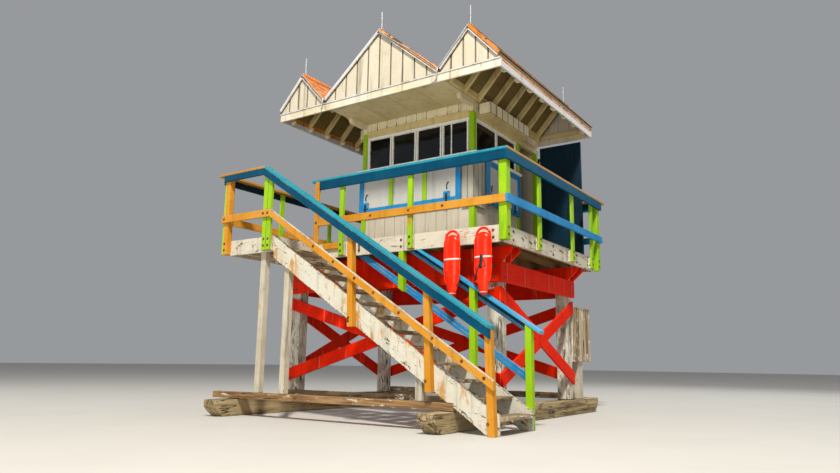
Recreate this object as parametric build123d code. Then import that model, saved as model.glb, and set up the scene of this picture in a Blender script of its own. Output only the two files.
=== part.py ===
"""Beach lifeguard tower: a timber hut on a raised deck, with a stair, guards and a triple gable roof.

Lengths are millimetres. While the pieces are made, X runs along the front to the right and is 0 at the right
edge of the deck, Y runs to the rear and is 0 at the front edge of the deck, and Z is 0 on the sand. At the
end every piece is moved by one step, so that the origin is the middle of the bottom of the whole tower.
"""
from build123d import *
from math import ceil
import os

# Lumber
board_thick = 38.0
post_side = 89.0
joint_gap = 1.5

# Deck
deck_width = 4400.0
deck_depth = 3520.0
deck_underside = 2450.0
joist_depth = 202.0
joist_pitch = 406.0

# Skids and beams on the sand
skid_width = 270.0
skid_height = 250.0
skid_front_reach = 1350.0
skid_rear_reach = 600.0
skid_nose_cut = 150.0
skid_nose_height = 140.0
ground_beam_height = 100.0
ground_beam_depth = 150.0
ground_beam_reach = 300.0
sill_plank_height = 105.0

# Legs and red frame
leg_side = 200.0
leg_right_inset = 250.0
leg_left_inset = 150.0
leg_front_inset = 350.0
leg_rear_inset = 520.0
girder_height = 285.0
girder_thick = 50.0
outrigger_height = 215.0
outrigger_tip_height = 70.0
brace_width = 190.0
brace_foot = 490.0
brace_top_drop = 60.0

# Landing
landing_depth = 950.0
prop_side = 100.0
landing_prop_place = -265.0
stair_prop_place = 210.0
short_prop_place = 2600.0
stair_prop_lap = 120.0
short_prop_lap = 90.0

# Stair
riser_count = 13
stair_going = 320.0
stair_foot_reach = 440.0
stringer_width = 286.0
stringer_toe = -45.0
tread_thick = 38.0
tread_depth = 280.0
near_post_places = (340.0, -527.0, -1794.0)
near_post_lean = 50.0
far_post_places = (330.0, -498.0)
far_hanger_place = -1711.0
stair_rail_height = 990.0
far_rail_height = 1075.0
stair_cap_width = 140.0
stair_mid_height = 395.0
light_rail_depth = 100.0
near_rail_end = 340.0
near_mid_end = 390.0
far_cap_end = 500.0
far_rail_end = 350.0
post_bearing = 20.0
cut_margin = 1.0

# Guards
guard_height = 1060.0
cap_width = 150.0
rail_depth = 140.0
mid_rail_depth = 115.0
mid_rail_height = 395.0
post_foot_lift = 15.0
corner_post_lap = 30.0
front_post_places = (-1502.0, -2829.0)
cap_end_reach = 80.0
end_post_place = 25.0
landing_cap_reach = 100.0
post_thick = 38.0
spacer_height = 190.0
right_post_places = (1024.0, 2330.0, 3225.0)
left_post_places = (216.0, 1475.0, 2652.0)
right_cap_reach = 300.0
toe_board_height = 100.0

# Hut
hut_width = 2270.0
right_walk = 1000.0
front_walk = 950.0
hut_depth = 2510.0
corner_post_side = 90.0
wall_inset = 20.0
wall_thick = 60.0
sill_height = 1400.0
window_head_height = 2060.0
trim_height = 120.0
trim_proud = 18.0
ceiling_height = 2320.0
ceiling_thick = 20.0
frame_bar = 45.0
frame_depth = 50.0
mullion_bar = 60.0
front_lights = 4
side_lights = 2
ledge_thick = 45.0
ledge_reach = 90.0
glass_thick = 6.0
doorway_width = 750.0
door_post_width = 90.0

# Hoods over the side windows and rounded beam ends in front of the hut posts
hood_reach = 216.0
hood_front_gap = 175.0
hood_rear_lap = 40.0
hood_foot_lift = 45.0
hood_board = 18.0
corbel_width = 80.0
corbel_height = 90.0
corbel_reach = 415.0
corbel_round = 60.0

# Shutters and boarded corners
shutter_height = 740.0
shutter_thick = 45.0
shutter_wall_gap = 20.0
shutter_frame = 90.0
shutter_recess = 15.0
batten_width = 85.0
front_shutter_left_gap = 0.0
front_shutter_right_gap = 215.0
side_shutter_front_gap = 350.0
side_shutter_rear_gap = 20.0
corner_board_thick = 18.0
corner_board_height = 830.0

# Door
leaf_width = 800.0
leaf_thick = 40.0
leaf_height = 2140.0
leaf_floor_gap = 20.0
leaf_wall_gap = 12.0
leaf_pin_gap = 28.0
pin_post_lap = 40.0
pin_radius = 8.0
pin_clearance = 0.3
arm_width = 24.0
arm_height = 60.0
strap_length = 420.0
strap_height = 45.0
strap_thick = 5.0
hinge_levels = (250.0, 1070.0, 1900.0)
handle_level = 1000.0
handle_length = 160.0
handle_stand = 35.0
handle_edge = 70.0
handle_bar = 14.0
knob_level = 1900.0
knob_edge = 150.0
knob_radius = 25.0
knob_stand = 30.0

# Roof
eave_overhang = 1030.0
roof_front_reach = 1050.0
roof_rear_reach = 80.0
eave_board_height = 140.0
eave_board_thick = 30.0
eave_drop = 70.0
roof_thick = 45.0
roof_lip = 10.0
middle_rise = 950.0
side_rise = 560.0
valley_beam_width = 90.0
gable_thick = 25.0
rafter_thick = 50.0
rafter_depth = 90.0
rafter_pitch = 450.0
rod_radius = 7.0
rod_height = 330.0
rod_base_radius = 22.0
rod_base_height = 30.0
rod_end_inset = 50.0

# Slatted box behind the rear right leg
box_depth = 780.0
box_width = 230.0
box_foot = 870.0
box_height = 940.0
box_board = 22.0
box_slat_width = 60.0
box_slat_count = 6
box_post_place = 230.0

# Rescue cans
can_length = 940.0
can_width = 270.0
can_thick = 130.0
can_corner = 110.0
can_edge = 40.0
can_top_level = 205.0
can_places = (-740.0, -250.0)
cleat_width = 90.0
cleat_height = 60.0
cleat_thick = 60.0
cleat_drop = 160.0

# Levels and places that follow from the sizes above
floor_level = deck_underside + joist_depth + board_thick
cap_top = floor_level + guard_height
cap_under = cap_top - board_thick
mid_rail_top = floor_level + mid_rail_height
sill_level = floor_level + sill_height
head_level = floor_level + window_head_height
ceiling_level = floor_level + ceiling_height
ceiling_top = ceiling_level + ceiling_thick
hut_right = -right_walk
hut_left = hut_right - hut_width
hut_front = front_walk
hut_rear = hut_front + hut_depth
leg_right = -leg_right_inset
leg_left = -deck_width + leg_left_inset
leg_front = leg_front_inset
leg_rear = deck_depth - leg_rear_inset
girder_top = deck_underside - outrigger_height
girder_foot = girder_top - girder_height
beam_top = skid_height + ground_beam_height
skid_shift = (skid_width - leg_side) / 2
landing_right = stair_foot_reach - (riser_count - 1) * stair_going
landing_front = -landing_depth
riser_height = floor_level / riser_count
stair_slope = riser_height / stair_going
slope_factor = (1 + stair_slope ** 2) ** 0.5
rail_out = post_side + board_thick
landing_guard_height = guard_height + board_thick
rail_meeting = landing_right - (landing_guard_height - stair_rail_height) / stair_slope
mid_rail_meeting = landing_right - (mid_rail_height - stair_mid_height) / stair_slope
doorway_rear = hut_rear - corner_post_side
doorway_front = doorway_rear - doorway_width
door_post_front = doorway_front - door_post_width
pin_x = hut_right + leaf_wall_gap + leaf_thick / 2
pin_y = doorway_rear + pin_post_lap
eave_base = ceiling_level + eave_drop
eave_right = hut_right + eave_overhang
eave_left = hut_left - eave_overhang
roof_front = hut_front - roof_front_reach
roof_rear = hut_rear + roof_rear_reach


def block(x0, x1, y0, y1, z0, z1):
    """A rectangular timber between two corners."""
    size = (abs(x1 - x0), abs(y1 - y0), abs(z1 - z0))
    middle = ((x0 + x1) / 2, (y0 + y1) / 2, (z0 + z1) / 2)
    return Pos(*middle) * Box(*size)


def board(corners, direction):
    """A flat board with the given corners, thickened along a vector."""
    return Solid.extrude(Face(Wire.make_polygon([Vector(*corner) for corner in corners])), Vector(*direction))


def board_xz(points, y0, y1):
    """A board drawn in X and Z that runs from y0 to y1."""
    return board([(x, y0, z) for x, z in points], (0, y1 - y0, 0))


def board_yz(points, x0, x1):
    """A board drawn in Y and Z that runs from x0 to x1."""
    return board([(x0, y, z) for y, z in points], (x1 - x0, 0, 0))


def board_xy(points, z0, z1):
    """A board drawn in X and Y that runs from z0 to z1."""
    return board([(x, y, z0) for x, y in points], (0, 0, z1 - z0))


def nosing(x):
    """Height of the line through the tread noses at x."""
    return floor_level - (x - landing_right) * stair_slope


def sloped(x0, x1, top, depth, y0, y1, limit=None):
    """A board along the stair, its top edge so far above the noses, cut off at a limit height."""
    fall = depth * slope_factor
    points = [(x0, nosing(x0) + top), (x1, nosing(x1) + top)]
    points += [(x1, nosing(x1) + top - fall), (x0, nosing(x0) + top - fall)]
    piece = board_xz(points, y0, y1)
    if limit is not None:
        keep = block(x0 - cut_margin, x1 + cut_margin, y0 - cut_margin, y1 + cut_margin, 0, limit)
        piece = piece & keep
    return piece


def front_beam():
    """The beam that lies across the skids under the front of the landing."""
    return block(leg_left - skid_shift - ground_beam_reach, leg_right + skid_shift, landing_front,
                 landing_front + ground_beam_depth, skid_height, beam_top)


def ground_works():
    """Skids, the beams that lie on them and the four legs."""
    front = -skid_front_reach
    rear = deck_depth + skid_rear_reach
    outline = [
        (front, skid_height),
        (front, skid_nose_height),
        (front + skid_nose_cut, 0),
        (rear - skid_nose_cut, 0),
        (rear, skid_nose_height),
        (rear, skid_height),
    ]
    right_edge = leg_right + skid_shift
    left_edge = leg_left - skid_shift
    plank_top = skid_height + sill_plank_height
    beams = [
        front_beam(),
        block(leg_left, leg_right, leg_front - board_thick, leg_front, skid_height, plank_top),
        block(leg_left, leg_right, leg_rear, leg_rear + board_thick, skid_height, plank_top),
    ]
    legs = []
    for x0 in (leg_left, leg_right - leg_side):
        for y0 in (leg_front, leg_rear - leg_side):
            legs.append(block(x0, x0 + leg_side, y0, y0 + leg_side, skid_height, deck_underside))
    return {
        "skid_left": [board_yz(outline, left_edge, left_edge + skid_width)],
        "skid_right": [board_yz(outline, right_edge - skid_width, right_edge)],
        "ground_beams": beams,
        "legs": legs,
    }


def cross_brace(start, end, low, high, near, far, shape):
    """The two boards of an X brace, half lapped where they cross."""
    run = end - start
    rise = high - low
    cut = brace_width
    for _ in range(4):
        cut = brace_width * (run ** 2 + (rise - cut) ** 2) ** 0.5 / run
    middle = (near + far) / 2
    rising = shape([(start, low), (start, low + cut), (end, high), (end, high - cut)], near, far)
    falling = shape([(start, high), (start, high - cut), (end, low), (end, low + cut)], near, far)
    field = [(start, low), (start, high), (end, high), (end, low)]
    crossing = rising & falling
    rising = rising - (crossing & shape(field, middle, far))
    falling = falling - (crossing & shape(field, near, middle))
    return rising, falling


def red_frame():
    """Girders on the outer faces of the legs, paired outriggers and the X braces."""
    side_front = leg_front - girder_thick
    side_rear = leg_rear + girder_thick
    side_girders = [
        block(leg_right, leg_right + girder_thick, side_front, side_rear, girder_foot, girder_top),
        block(leg_left - girder_thick, leg_left, side_front, side_rear, girder_foot, girder_top),
    ]
    end_girders = [
        block(leg_left, leg_right, side_front, leg_front, girder_foot, girder_top),
        block(leg_left, leg_right, leg_rear, side_rear, girder_foot, girder_top),
    ]
    outline = [
        (-deck_width + board_thick, deck_underside),
        (-deck_width + board_thick, deck_underside - outrigger_tip_height),
        (leg_left - girder_thick, girder_top),
        (leg_right + girder_thick, girder_top),
        (-board_thick, deck_underside - outrigger_tip_height),
        (-board_thick, deck_underside),
    ]
    outriggers = []
    for leg_y in (leg_front, leg_rear - leg_side):
        outriggers.append(board_xz(outline, leg_y - board_thick, leg_y))
        outriggers.append(board_xz(outline, leg_y + leg_side, leg_y + leg_side + board_thick))
    planes = [
        (leg_left, leg_right, leg_front, leg_front - board_thick, board_xz),
        (leg_left, leg_right, leg_rear, leg_rear + board_thick, board_xz),
        (leg_front, leg_rear, leg_right, leg_right + board_thick, board_yz),
        (leg_front, leg_rear, leg_left, leg_left - board_thick, board_yz),
    ]
    rising = []
    falling = []
    for start, end, near, far, shape in planes:
        pair = cross_brace(start, end, brace_foot, girder_foot - brace_top_drop, near, far, shape)
        rising.append(pair[0])
        falling.append(pair[1])
    return {
        "side_girders": side_girders,
        "end_girders": end_girders,
        "outriggers": outriggers,
        "braces_rising": rising,
        "braces_falling": falling,
    }


def deck():
    """Joists, floor and the fascia boards round them."""
    inner_left = -deck_width + board_thick
    inner_rear = deck_depth - board_thick
    joist_top = deck_underside + joist_depth
    joist_run = -board_thick - inner_left - board_thick
    spaces = ceil(joist_run / joist_pitch)
    joists = []
    for index in range(spaces + 1):
        x0 = inner_left + index * joist_run / spaces
        joists.append(block(x0, x0 + board_thick, board_thick, inner_rear, deck_underside, joist_top))
    floor = block(inner_left, -board_thick, board_thick, inner_rear, joist_top, floor_level)
    return {
        "deck_joists": joists,
        "deck_floor": [floor],
        "long_fascias": [
            block(-deck_width, 0, 0, board_thick, deck_underside, floor_level),
            block(-deck_width, 0, inner_rear, deck_depth, deck_underside, floor_level),
        ],
        "side_fascias": [
            block(-deck_width, inner_left, board_thick, inner_rear, deck_underside, floor_level),
            block(-board_thick, 0, board_thick, inner_rear, deck_underside, floor_level),
        ],
    }


def landing():
    """Frame and floor of the landing, and the props that stand on the ground beam and the skid."""
    joist_top = deck_underside + joist_depth
    inner_left = -deck_width + board_thick
    inner_right = landing_right - board_thick
    inner_front = landing_front + board_thick
    frame = block(-deck_width, landing_right, landing_front, inner_front, deck_underside, floor_level)
    frame += block(-deck_width, inner_left, inner_front, 0, deck_underside, floor_level)
    frame += block(inner_right, landing_right, inner_front, 0, deck_underside, floor_level)
    for share in (1 / 3, 2 / 3):
        x0 = inner_left + (inner_right - inner_left - board_thick) * share
        frame += block(x0, x0 + board_thick, inner_front, 0, deck_underside, joist_top)
    floor = block(inner_left, inner_right, inner_front, 0, joist_top, floor_level)
    prop_rear = inner_front + prop_side
    stringer_fall = stringer_width * slope_factor
    x0 = landing_right + landing_prop_place
    props = [block(x0, x0 + prop_side, landing_front, landing_front + prop_side, beam_top, deck_underside)]
    for place, lap in ((stair_prop_place, stair_prop_lap), (short_prop_place, short_prop_lap)):
        x0 = landing_right + place
        top = nosing(x0 + prop_side) - stringer_fall + lap
        props.append(block(x0, x0 + prop_side, inner_front, prop_rear, beam_top, top))
    box_post_y = leg_rear + board_thick + box_post_place
    props.append(block(leg_right - leg_side, leg_right, box_post_y, box_post_y + leg_side,
                       skid_height, box_foot))
    return {"landing_frame": [frame], "landing_floor": [floor], "props": props}


def stair():
    """Stringers, open treads, posts and the sloped rails on each side."""
    fall = stringer_width * slope_factor
    foot_x = landing_right + (riser_count - 1) * stair_going + stringer_toe
    heel_x = landing_right + (floor_level - fall) / stair_slope
    outline = [
        (landing_right, floor_level),
        (landing_right, floor_level - fall),
        (heel_x, 0),
        (foot_x, 0),
        (foot_x, nosing(foot_x)),
    ]
    stringers = [
        board_xz(outline, landing_front, landing_front + board_thick) - front_beam(),
        board_xz(outline, -board_thick, 0),
    ]
    treads = []
    for index in range(1, riser_count):
        nose_x = landing_right + index * stair_going
        level = floor_level - index * riser_height
        treads.append(block(nose_x - tread_depth, nose_x, landing_front + board_thick, -board_thick,
                            level - tread_thick, level))
    near_out = landing_front - rail_out
    near_in = landing_front - post_side
    near_cap_in = near_out + stair_cap_width
    far_in = post_side
    far_out = rail_out
    far_cap_in = far_out - stair_cap_width
    cap_fall = board_thick * slope_factor
    near_top = stair_rail_height - cap_fall
    far_top = far_rail_height - cap_fall
    mid_low = stair_mid_height - light_rail_depth * slope_factor
    half = post_side / 2
    posts = []
    for place in near_post_places:
        x0 = place - half
        x1 = place + half
        foot = max(nosing(x1) - fall, 0)
        top0 = x0 - near_post_lean
        top1 = x1 - near_post_lean
        outline = [(x0, foot), (x1, foot), (top1, nosing(top1) + near_top), (top0, nosing(top0) + near_top)]
        posts.append(board_xz(outline, near_in, landing_front))
    for place in far_post_places:
        x0 = place - half
        x1 = place + half
        foot = max(nosing(x1) - fall, 0)
        outline = [(x0, foot), (x1, foot), (x1, nosing(x1) + far_top), (x0, nosing(x0) + far_top)]
        posts.append(board_xz(outline, 0, far_in))
    x0 = far_hanger_place - half
    x1 = far_hanger_place + half
    hanger = board_xz([(x0, 0), (x1, 0), (x1, deck_underside), (x0, deck_underside)], 0, far_in)
    below = board_xz([(x0, 0), (x1, 0), (x1, nosing(x1) + mid_low), (x0, nosing(x0) + mid_low)], 0, far_in)
    posts.append(hanger - below)
    caps = [
        sloped(rail_meeting, near_rail_end, stair_rail_height, board_thick, near_out, near_cap_in),
        sloped(landing_right, far_cap_end, far_rail_height, board_thick, far_cap_in, far_out, deck_underside),
    ]
    top_rails = [
        sloped(rail_meeting, near_rail_end, near_top, light_rail_depth, near_out, near_in),
        sloped(landing_right, far_rail_end, far_top, light_rail_depth, far_in, far_out, deck_underside),
    ]
    mid_top = stair_mid_height
    mid_rails = [
        sloped(mid_rail_meeting, near_mid_end, mid_top, light_rail_depth, near_out, near_in),
        sloped(landing_right, far_rail_end, mid_top, light_rail_depth, far_in, far_out, deck_underside),
    ]
    return {
        "stringers": stringers,
        "treads": treads,
        "stair_posts": posts,
        "stair_caps": caps,
        "stair_top_rails": top_rails,
        "stair_mid_rails": mid_rails,
    }


def corner_post(x, y, x_side, y_side, foot, top):
    """A guard post notched over an outer corner of the deck at x and y."""
    long_x = sorted((x - x_side * corner_post_lap, x + x_side * post_side))
    long_y = sorted((y, y + y_side * post_side))
    short_x = sorted((x, x + x_side * post_side))
    short_y = sorted((y - y_side * corner_post_lap, y))
    return block(*long_x, *long_y, foot, top) + block(*short_x, *short_y, foot, top)


def guard_post(x_side, y_side, x, y, top):
    """A flat post on a spacer off the fascia, on the side of the deck that x_side or y_side names."""
    half = post_side / 2
    foot = deck_underside + post_foot_lift
    stand = post_side - post_thick
    if x_side:
        inner, middle, outer = (x + x_side * step for step in (0, stand, post_side))
        post = block(middle, outer, y - half, y + half, foot, top)
        return post + block(inner, middle, y - half, y + half, foot, foot + spacer_height)
    inner, middle, outer = (y + y_side * step for step in (0, stand, post_side))
    post = block(x - half, x + half, middle, outer, foot, top)
    return post + block(x - half, x + half, inner, middle, foot, foot + spacer_height)


def guards():
    """Posts, caps, top rails and mid rails round the deck and the landing."""
    foot = deck_underside + post_foot_lift
    left = -deck_width
    rear = deck_depth
    half = post_side / 2
    posts = [
        corner_post(0, 0, 1, -1, foot, cap_under),
        corner_post(0, rear, 1, 1, foot, cap_under),
        corner_post(left, rear, -1, 1, foot, cap_under),
        corner_post(left, landing_front, -1, -1, foot, cap_under),
    ]
    for x in front_post_places:
        posts.append(guard_post(0, -1, x, 0, cap_under))
    end_left = landing_right + end_post_place
    end_right = end_left + post_side
    first_tread = floor_level - riser_height
    posts.append(block(end_left, end_right, -rail_out, -board_thick, first_tread, cap_under))
    for y in right_post_places:
        posts.append(guard_post(1, 0, 0, y, cap_under))
    for y in left_post_places:
        posts.append(guard_post(-1, 0, left, y, cap_under))
    posts.append(guard_post(0, 1, hut_right + half, rear, cap_under))
    posts.append(guard_post(0, 1, hut_left - half, rear, cap_under))
    near_y0 = landing_front - post_side
    meet_x = rail_meeting
    under = stair_rail_height - board_thick * slope_factor
    x0 = meet_x - post_bearing
    x1 = x0 + post_side
    turn_x = landing_right + (under - guard_height) / stair_slope
    outline = [(x0, foot), (x1, foot), (x1, nosing(x1) + under), (turn_x, cap_top), (x0, cap_top)]
    posts.append(board_xz(outline, near_y0, landing_front))
    x0 = x1 + joint_gap
    x1 = x0 + post_side
    outline = [(x0, foot), (x1, foot), (x1, nosing(x1) + under), (x0, nosing(x0) + under)]
    posts.append(board_xz(outline, near_y0, landing_front))

    cap_in = cap_width - rail_out
    gap = joint_gap
    front_end = end_left - cap_end_reach
    edge_l = left - rail_out
    edge_f = landing_front - rail_out
    edge_r = rail_out
    edge_b = rear + rail_out
    in_l = left + cap_in
    in_f = landing_front + cap_in
    in_b = rear - cap_in
    left_start = near_y0 + gap
    right_end = rear + right_cap_reach
    caps = [
        board_xy([(front_end, -rail_out), (edge_r - gap, -rail_out), (-cap_in - gap, cap_in),
                  (front_end, cap_in)], cap_under, cap_top),
        board_xy([(edge_r, gap - rail_out), (edge_r, right_end), (-cap_in, right_end),
                  (-cap_in, cap_in + gap)], cap_under, cap_top),
        block(hut_right, -cap_in - gap, in_b, edge_b, cap_under, cap_top),
        board_xy([(edge_l, left_start), (in_l, left_start), (in_l, in_b - gap), (edge_l, edge_b - gap)],
                 cap_under, cap_top),
        board_xy([(edge_l + gap, edge_b), (in_l + gap, in_b), (hut_left, in_b), (hut_left, edge_b)],
                 cap_under, cap_top),
        block(edge_l - landing_cap_reach, meet_x - gap, edge_f, in_f, cap_top, cap_top + board_thick),
    ]
    top_rails = guard_rails(end_right, meet_x, cap_under, rail_depth, cap_top, light_rail_depth)
    mid_rails = guard_rails(end_right, mid_rail_meeting, mid_rail_top, mid_rail_depth, mid_rail_top,
                            mid_rail_depth)
    toe_left = landing_right + toe_board_height / stair_slope + joint_gap
    toe_right = front_post_places[-1] - half
    toe = block(toe_left, toe_right, -board_thick, 0, floor_level - toe_board_height, floor_level)
    return {
        "guard_posts": posts,
        "guard_caps": caps,
        "guard_top_rails": top_rails,
        "guard_mid_rails": mid_rails,
        "toe_board": [toe],
    }


def guard_rails(front_end, landing_end, top, depth, landing_top, light_depth):
    """The rails on the outer faces of the guard posts at one level, with lighter ones at the left."""
    left = -deck_width
    rear = deck_depth
    out = rail_out
    side = post_side
    gap = joint_gap
    low = top - depth
    left_low = top - light_depth
    landing_low = landing_top - light_depth
    landing_face = landing_front - side
    landing_out = landing_front - out
    return [
        block(front_end, side - gap, -out, -side, low, top),
        block(side, out, -out, rear + side - gap, low, top),
        block(hut_right, out, rear + side, rear + out, low, top),
        block(left - out, left - side, landing_face, rear + side - gap, left_low, top),
        block(left - out, hut_left, rear + side, rear + out, low, top),
        block(left - side + gap, landing_end - gap, landing_out, landing_face, landing_low, landing_top),
    ]


def hut_walls():
    """Corner posts, lower walls, window bands, wall heads and the ceiling."""
    side = corner_post_side
    posts = []
    for x0 in (hut_left, hut_right - side):
        for y0 in (hut_front, hut_rear - side):
            posts.append(block(x0, x0 + side, y0, y0 + side, floor_level, ceiling_level))
    for x0 in (hut_left, hut_right - side):
        posts.append(block(x0, x0 + side, door_post_front, doorway_front, floor_level, head_level))
    x0 = hut_left + side
    x1 = hut_right - side
    y0 = hut_front + side
    y1 = hut_rear - side
    front_y = hut_front + wall_inset
    rear_y = hut_rear - wall_inset
    right_x = hut_right - wall_inset
    left_x = hut_left + wall_inset
    front = block(x0, x1, front_y, front_y + wall_thick, floor_level, sill_level)
    rear = block(x0, x1, rear_y - wall_thick, rear_y, floor_level, head_level)
    right = block(right_x - wall_thick, right_x, y0, door_post_front, floor_level, sill_level)
    left = block(left_x, left_x + wall_thick, y0, door_post_front, floor_level, sill_level)
    left_rear = block(left_x, left_x + wall_thick, doorway_front, y1, floor_level, head_level)
    trim_top = head_level + trim_height
    heads = [
        block(x0, x1, front_y, front_y + wall_thick, head_level, ceiling_level)
        + block(x0, x1, front_y - trim_proud, front_y, head_level, trim_top),
        block(x0, x1, rear_y - wall_thick, rear_y, head_level, ceiling_level)
        + block(x0, x1, rear_y, rear_y + trim_proud, head_level, trim_top),
        block(right_x - wall_thick, right_x, y0, y1, head_level, ceiling_level)
        + block(right_x, right_x + trim_proud, y0, y1, head_level, trim_top),
        block(left_x, left_x + wall_thick, y0, y1, head_level, ceiling_level)
        + block(left_x - trim_proud, left_x, y0, y1, head_level, trim_top),
    ]
    ceiling = block(hut_left, hut_right, roof_front + eave_board_thick, roof_rear - eave_board_thick,
                    ceiling_level, ceiling_top)
    return {
        "hut_posts": posts,
        "front_wall": [front],
        "rear_wall": [rear],
        "right_wall": [right],
        "left_wall": [left, left_rear],
        "wall_heads": heads,
        "ceiling": [ceiling],
    }


def hoods():
    """Boarded hoods under the ceiling edge over the side windows, open at the top."""
    low = head_level + hood_foot_lift
    front = hut_front + hood_front_gap
    rear = door_post_front + hood_rear_lap
    t = hood_board
    boxes = []
    for wall, side in ((hut_right, 1), (hut_left, -1)):
        face = wall + side * (trim_proud - wall_inset)
        out = wall + side * hood_reach
        box = block(out - side * t, out, front, rear, low, ceiling_level)
        box += block(face, out - side * t, front, front + t, low, ceiling_level)
        box += block(face, out - side * t, rear - t, rear, low, ceiling_level)
        box += block(face, out - side * t, front + t, rear - t, low, low + t)
        boxes.append(box)
    return {"window_hoods": boxes}


def corbels():
    """Rounded beam ends under the ceiling in front of the hut's front posts."""
    ends = []
    for x0 in (hut_left, hut_right - corbel_width):
        end = block(x0, x0 + corbel_width, hut_front - corbel_reach, hut_front,
                    ceiling_level - corbel_height, ceiling_level)
        nose = end.edges().filter_by(Axis.X).group_by(Axis.Y)[0].sort_by(Axis.Z)[0]
        ends.append(fillet(nose, corbel_round))
    return {"corbels": ends}


def window_band(start, end, lights, place):
    """Frame and panes of one band of windows; place turns a run and a depth into a block."""
    frame_back = wall_thick
    low = sill_level + ledge_thick
    high = head_level - frame_bar
    frame = place(start, end, 0, frame_back, sill_level, low)
    frame += place(start, end, 0, frame_depth, high, head_level)
    frame += place(start, start + frame_bar, 0, frame_depth, low, high)
    frame += place(end - frame_bar, end, 0, frame_depth, low, high)
    clear = end - start - 2 * frame_bar - (lights - 1) * mullion_bar
    pane_width = clear / lights
    panes = []
    glass_in = (frame_depth - glass_thick) / 2
    for index in range(lights):
        a0 = start + frame_bar + index * (pane_width + mullion_bar)
        a1 = a0 + pane_width
        if index < lights - 1:
            frame += place(a1, a1 + mullion_bar, 0, frame_depth, low, high)
        panes.append(place(a0, a1, glass_in, glass_in + glass_thick, low, high))
    return frame, panes


def windows():
    """Three window bands with their sill ledges."""
    side = corner_post_side
    front_y = hut_front + wall_inset
    right_x = hut_right - wall_inset
    left_x = hut_left + wall_inset

    def along_front(a0, a1, d0, d1, z0, z1):
        return block(a0, a1, front_y + d0, front_y + d1, z0, z1)

    def along_right(a0, a1, d0, d1, z0, z1):
        return block(right_x - d1, right_x - d0, a0, a1, z0, z1)

    def along_left(a0, a1, d0, d1, z0, z1):
        return block(left_x + d0, left_x + d1, a0, a1, z0, z1)

    ledge_out = ledge_reach + wall_inset
    ledge_top = sill_level + ledge_thick
    side_end = door_post_front
    front, front_panes = window_band(hut_left + side, hut_right - side, front_lights, along_front)
    ledge = along_front(hut_left - ledge_reach, hut_right + ledge_reach, -ledge_out, -wall_inset,
                        sill_level, ledge_top)
    ledges = [ledge + along_front(hut_left + side, hut_right - side, -wall_inset, 0, sill_level, ledge_top)]
    frames = [front]
    panes = front_panes
    for place in (along_right, along_left):
        frame, side_panes = window_band(hut_front + side, side_end, side_lights, place)
        ledge = place(hut_front + joint_gap, side_end, -ledge_out, -wall_inset, sill_level, ledge_top)
        ledges.append(ledge + place(hut_front + side, side_end, -wall_inset, 0, sill_level, ledge_top))
        frames.append(frame)
        panes += side_panes
    return {"window_frames": frames, "window_ledges": ledges, "window_glass": panes}


def shutter(start, end, battens, place):
    """A hanging storm shutter: a frame round a sunk panel with upright battens."""
    top = sill_level
    foot = top - shutter_height
    back = shutter_wall_gap
    face = back + shutter_thick
    sunk = face - shutter_recess
    field_foot = foot + shutter_frame
    field_top = top - shutter_frame
    panel = place(start, end, back, face, foot, top)
    panel -= place(start + shutter_frame, end - shutter_frame, sunk, face, field_foot, field_top)
    for index in range(1, battens + 1):
        edge = start + (end - start) * index / (battens + 1) - batten_width / 2
        panel += place(edge, edge + batten_width, sunk, face, field_foot, field_top)
    return panel


def shutters():
    """Hanging shutters under the window bands and the boards over the front corners."""
    def along_front(a0, a1, d0, d1, z0, z1):
        return block(a0, a1, hut_front - d1, hut_front - d0, z0, z1)

    def along_right(a0, a1, d0, d1, z0, z1):
        return block(hut_right + d0, hut_right + d1, a0, a1, z0, z1)

    def along_left(a0, a1, d0, d1, z0, z1):
        return block(hut_left - d1, hut_left - d0, a0, a1, z0, z1)

    front_start = hut_left + front_shutter_left_gap
    front_end = hut_right - front_shutter_right_gap
    side_start = hut_front + side_shutter_front_gap
    side_end = door_post_front - side_shutter_rear_gap
    foot = sill_level - corner_board_height
    thick = corner_board_thick
    side_y = side_start - joint_gap
    boards = [
        block(front_end + joint_gap, hut_right, hut_front - thick, hut_front, foot, sill_level),
        block(hut_right, hut_right + thick, hut_front, side_y, foot, sill_level),
        block(hut_left - thick, hut_left, hut_front, side_y, foot, sill_level),
    ]
    return {
        "front_shutter": [shutter(front_start, front_end, 2, along_front)],
        "right_shutter": [shutter(side_start, side_end, 1, along_right)],
        "left_shutter": [shutter(side_start, side_end, 1, along_left)],
        "corner_boards": boards,
    }


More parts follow.
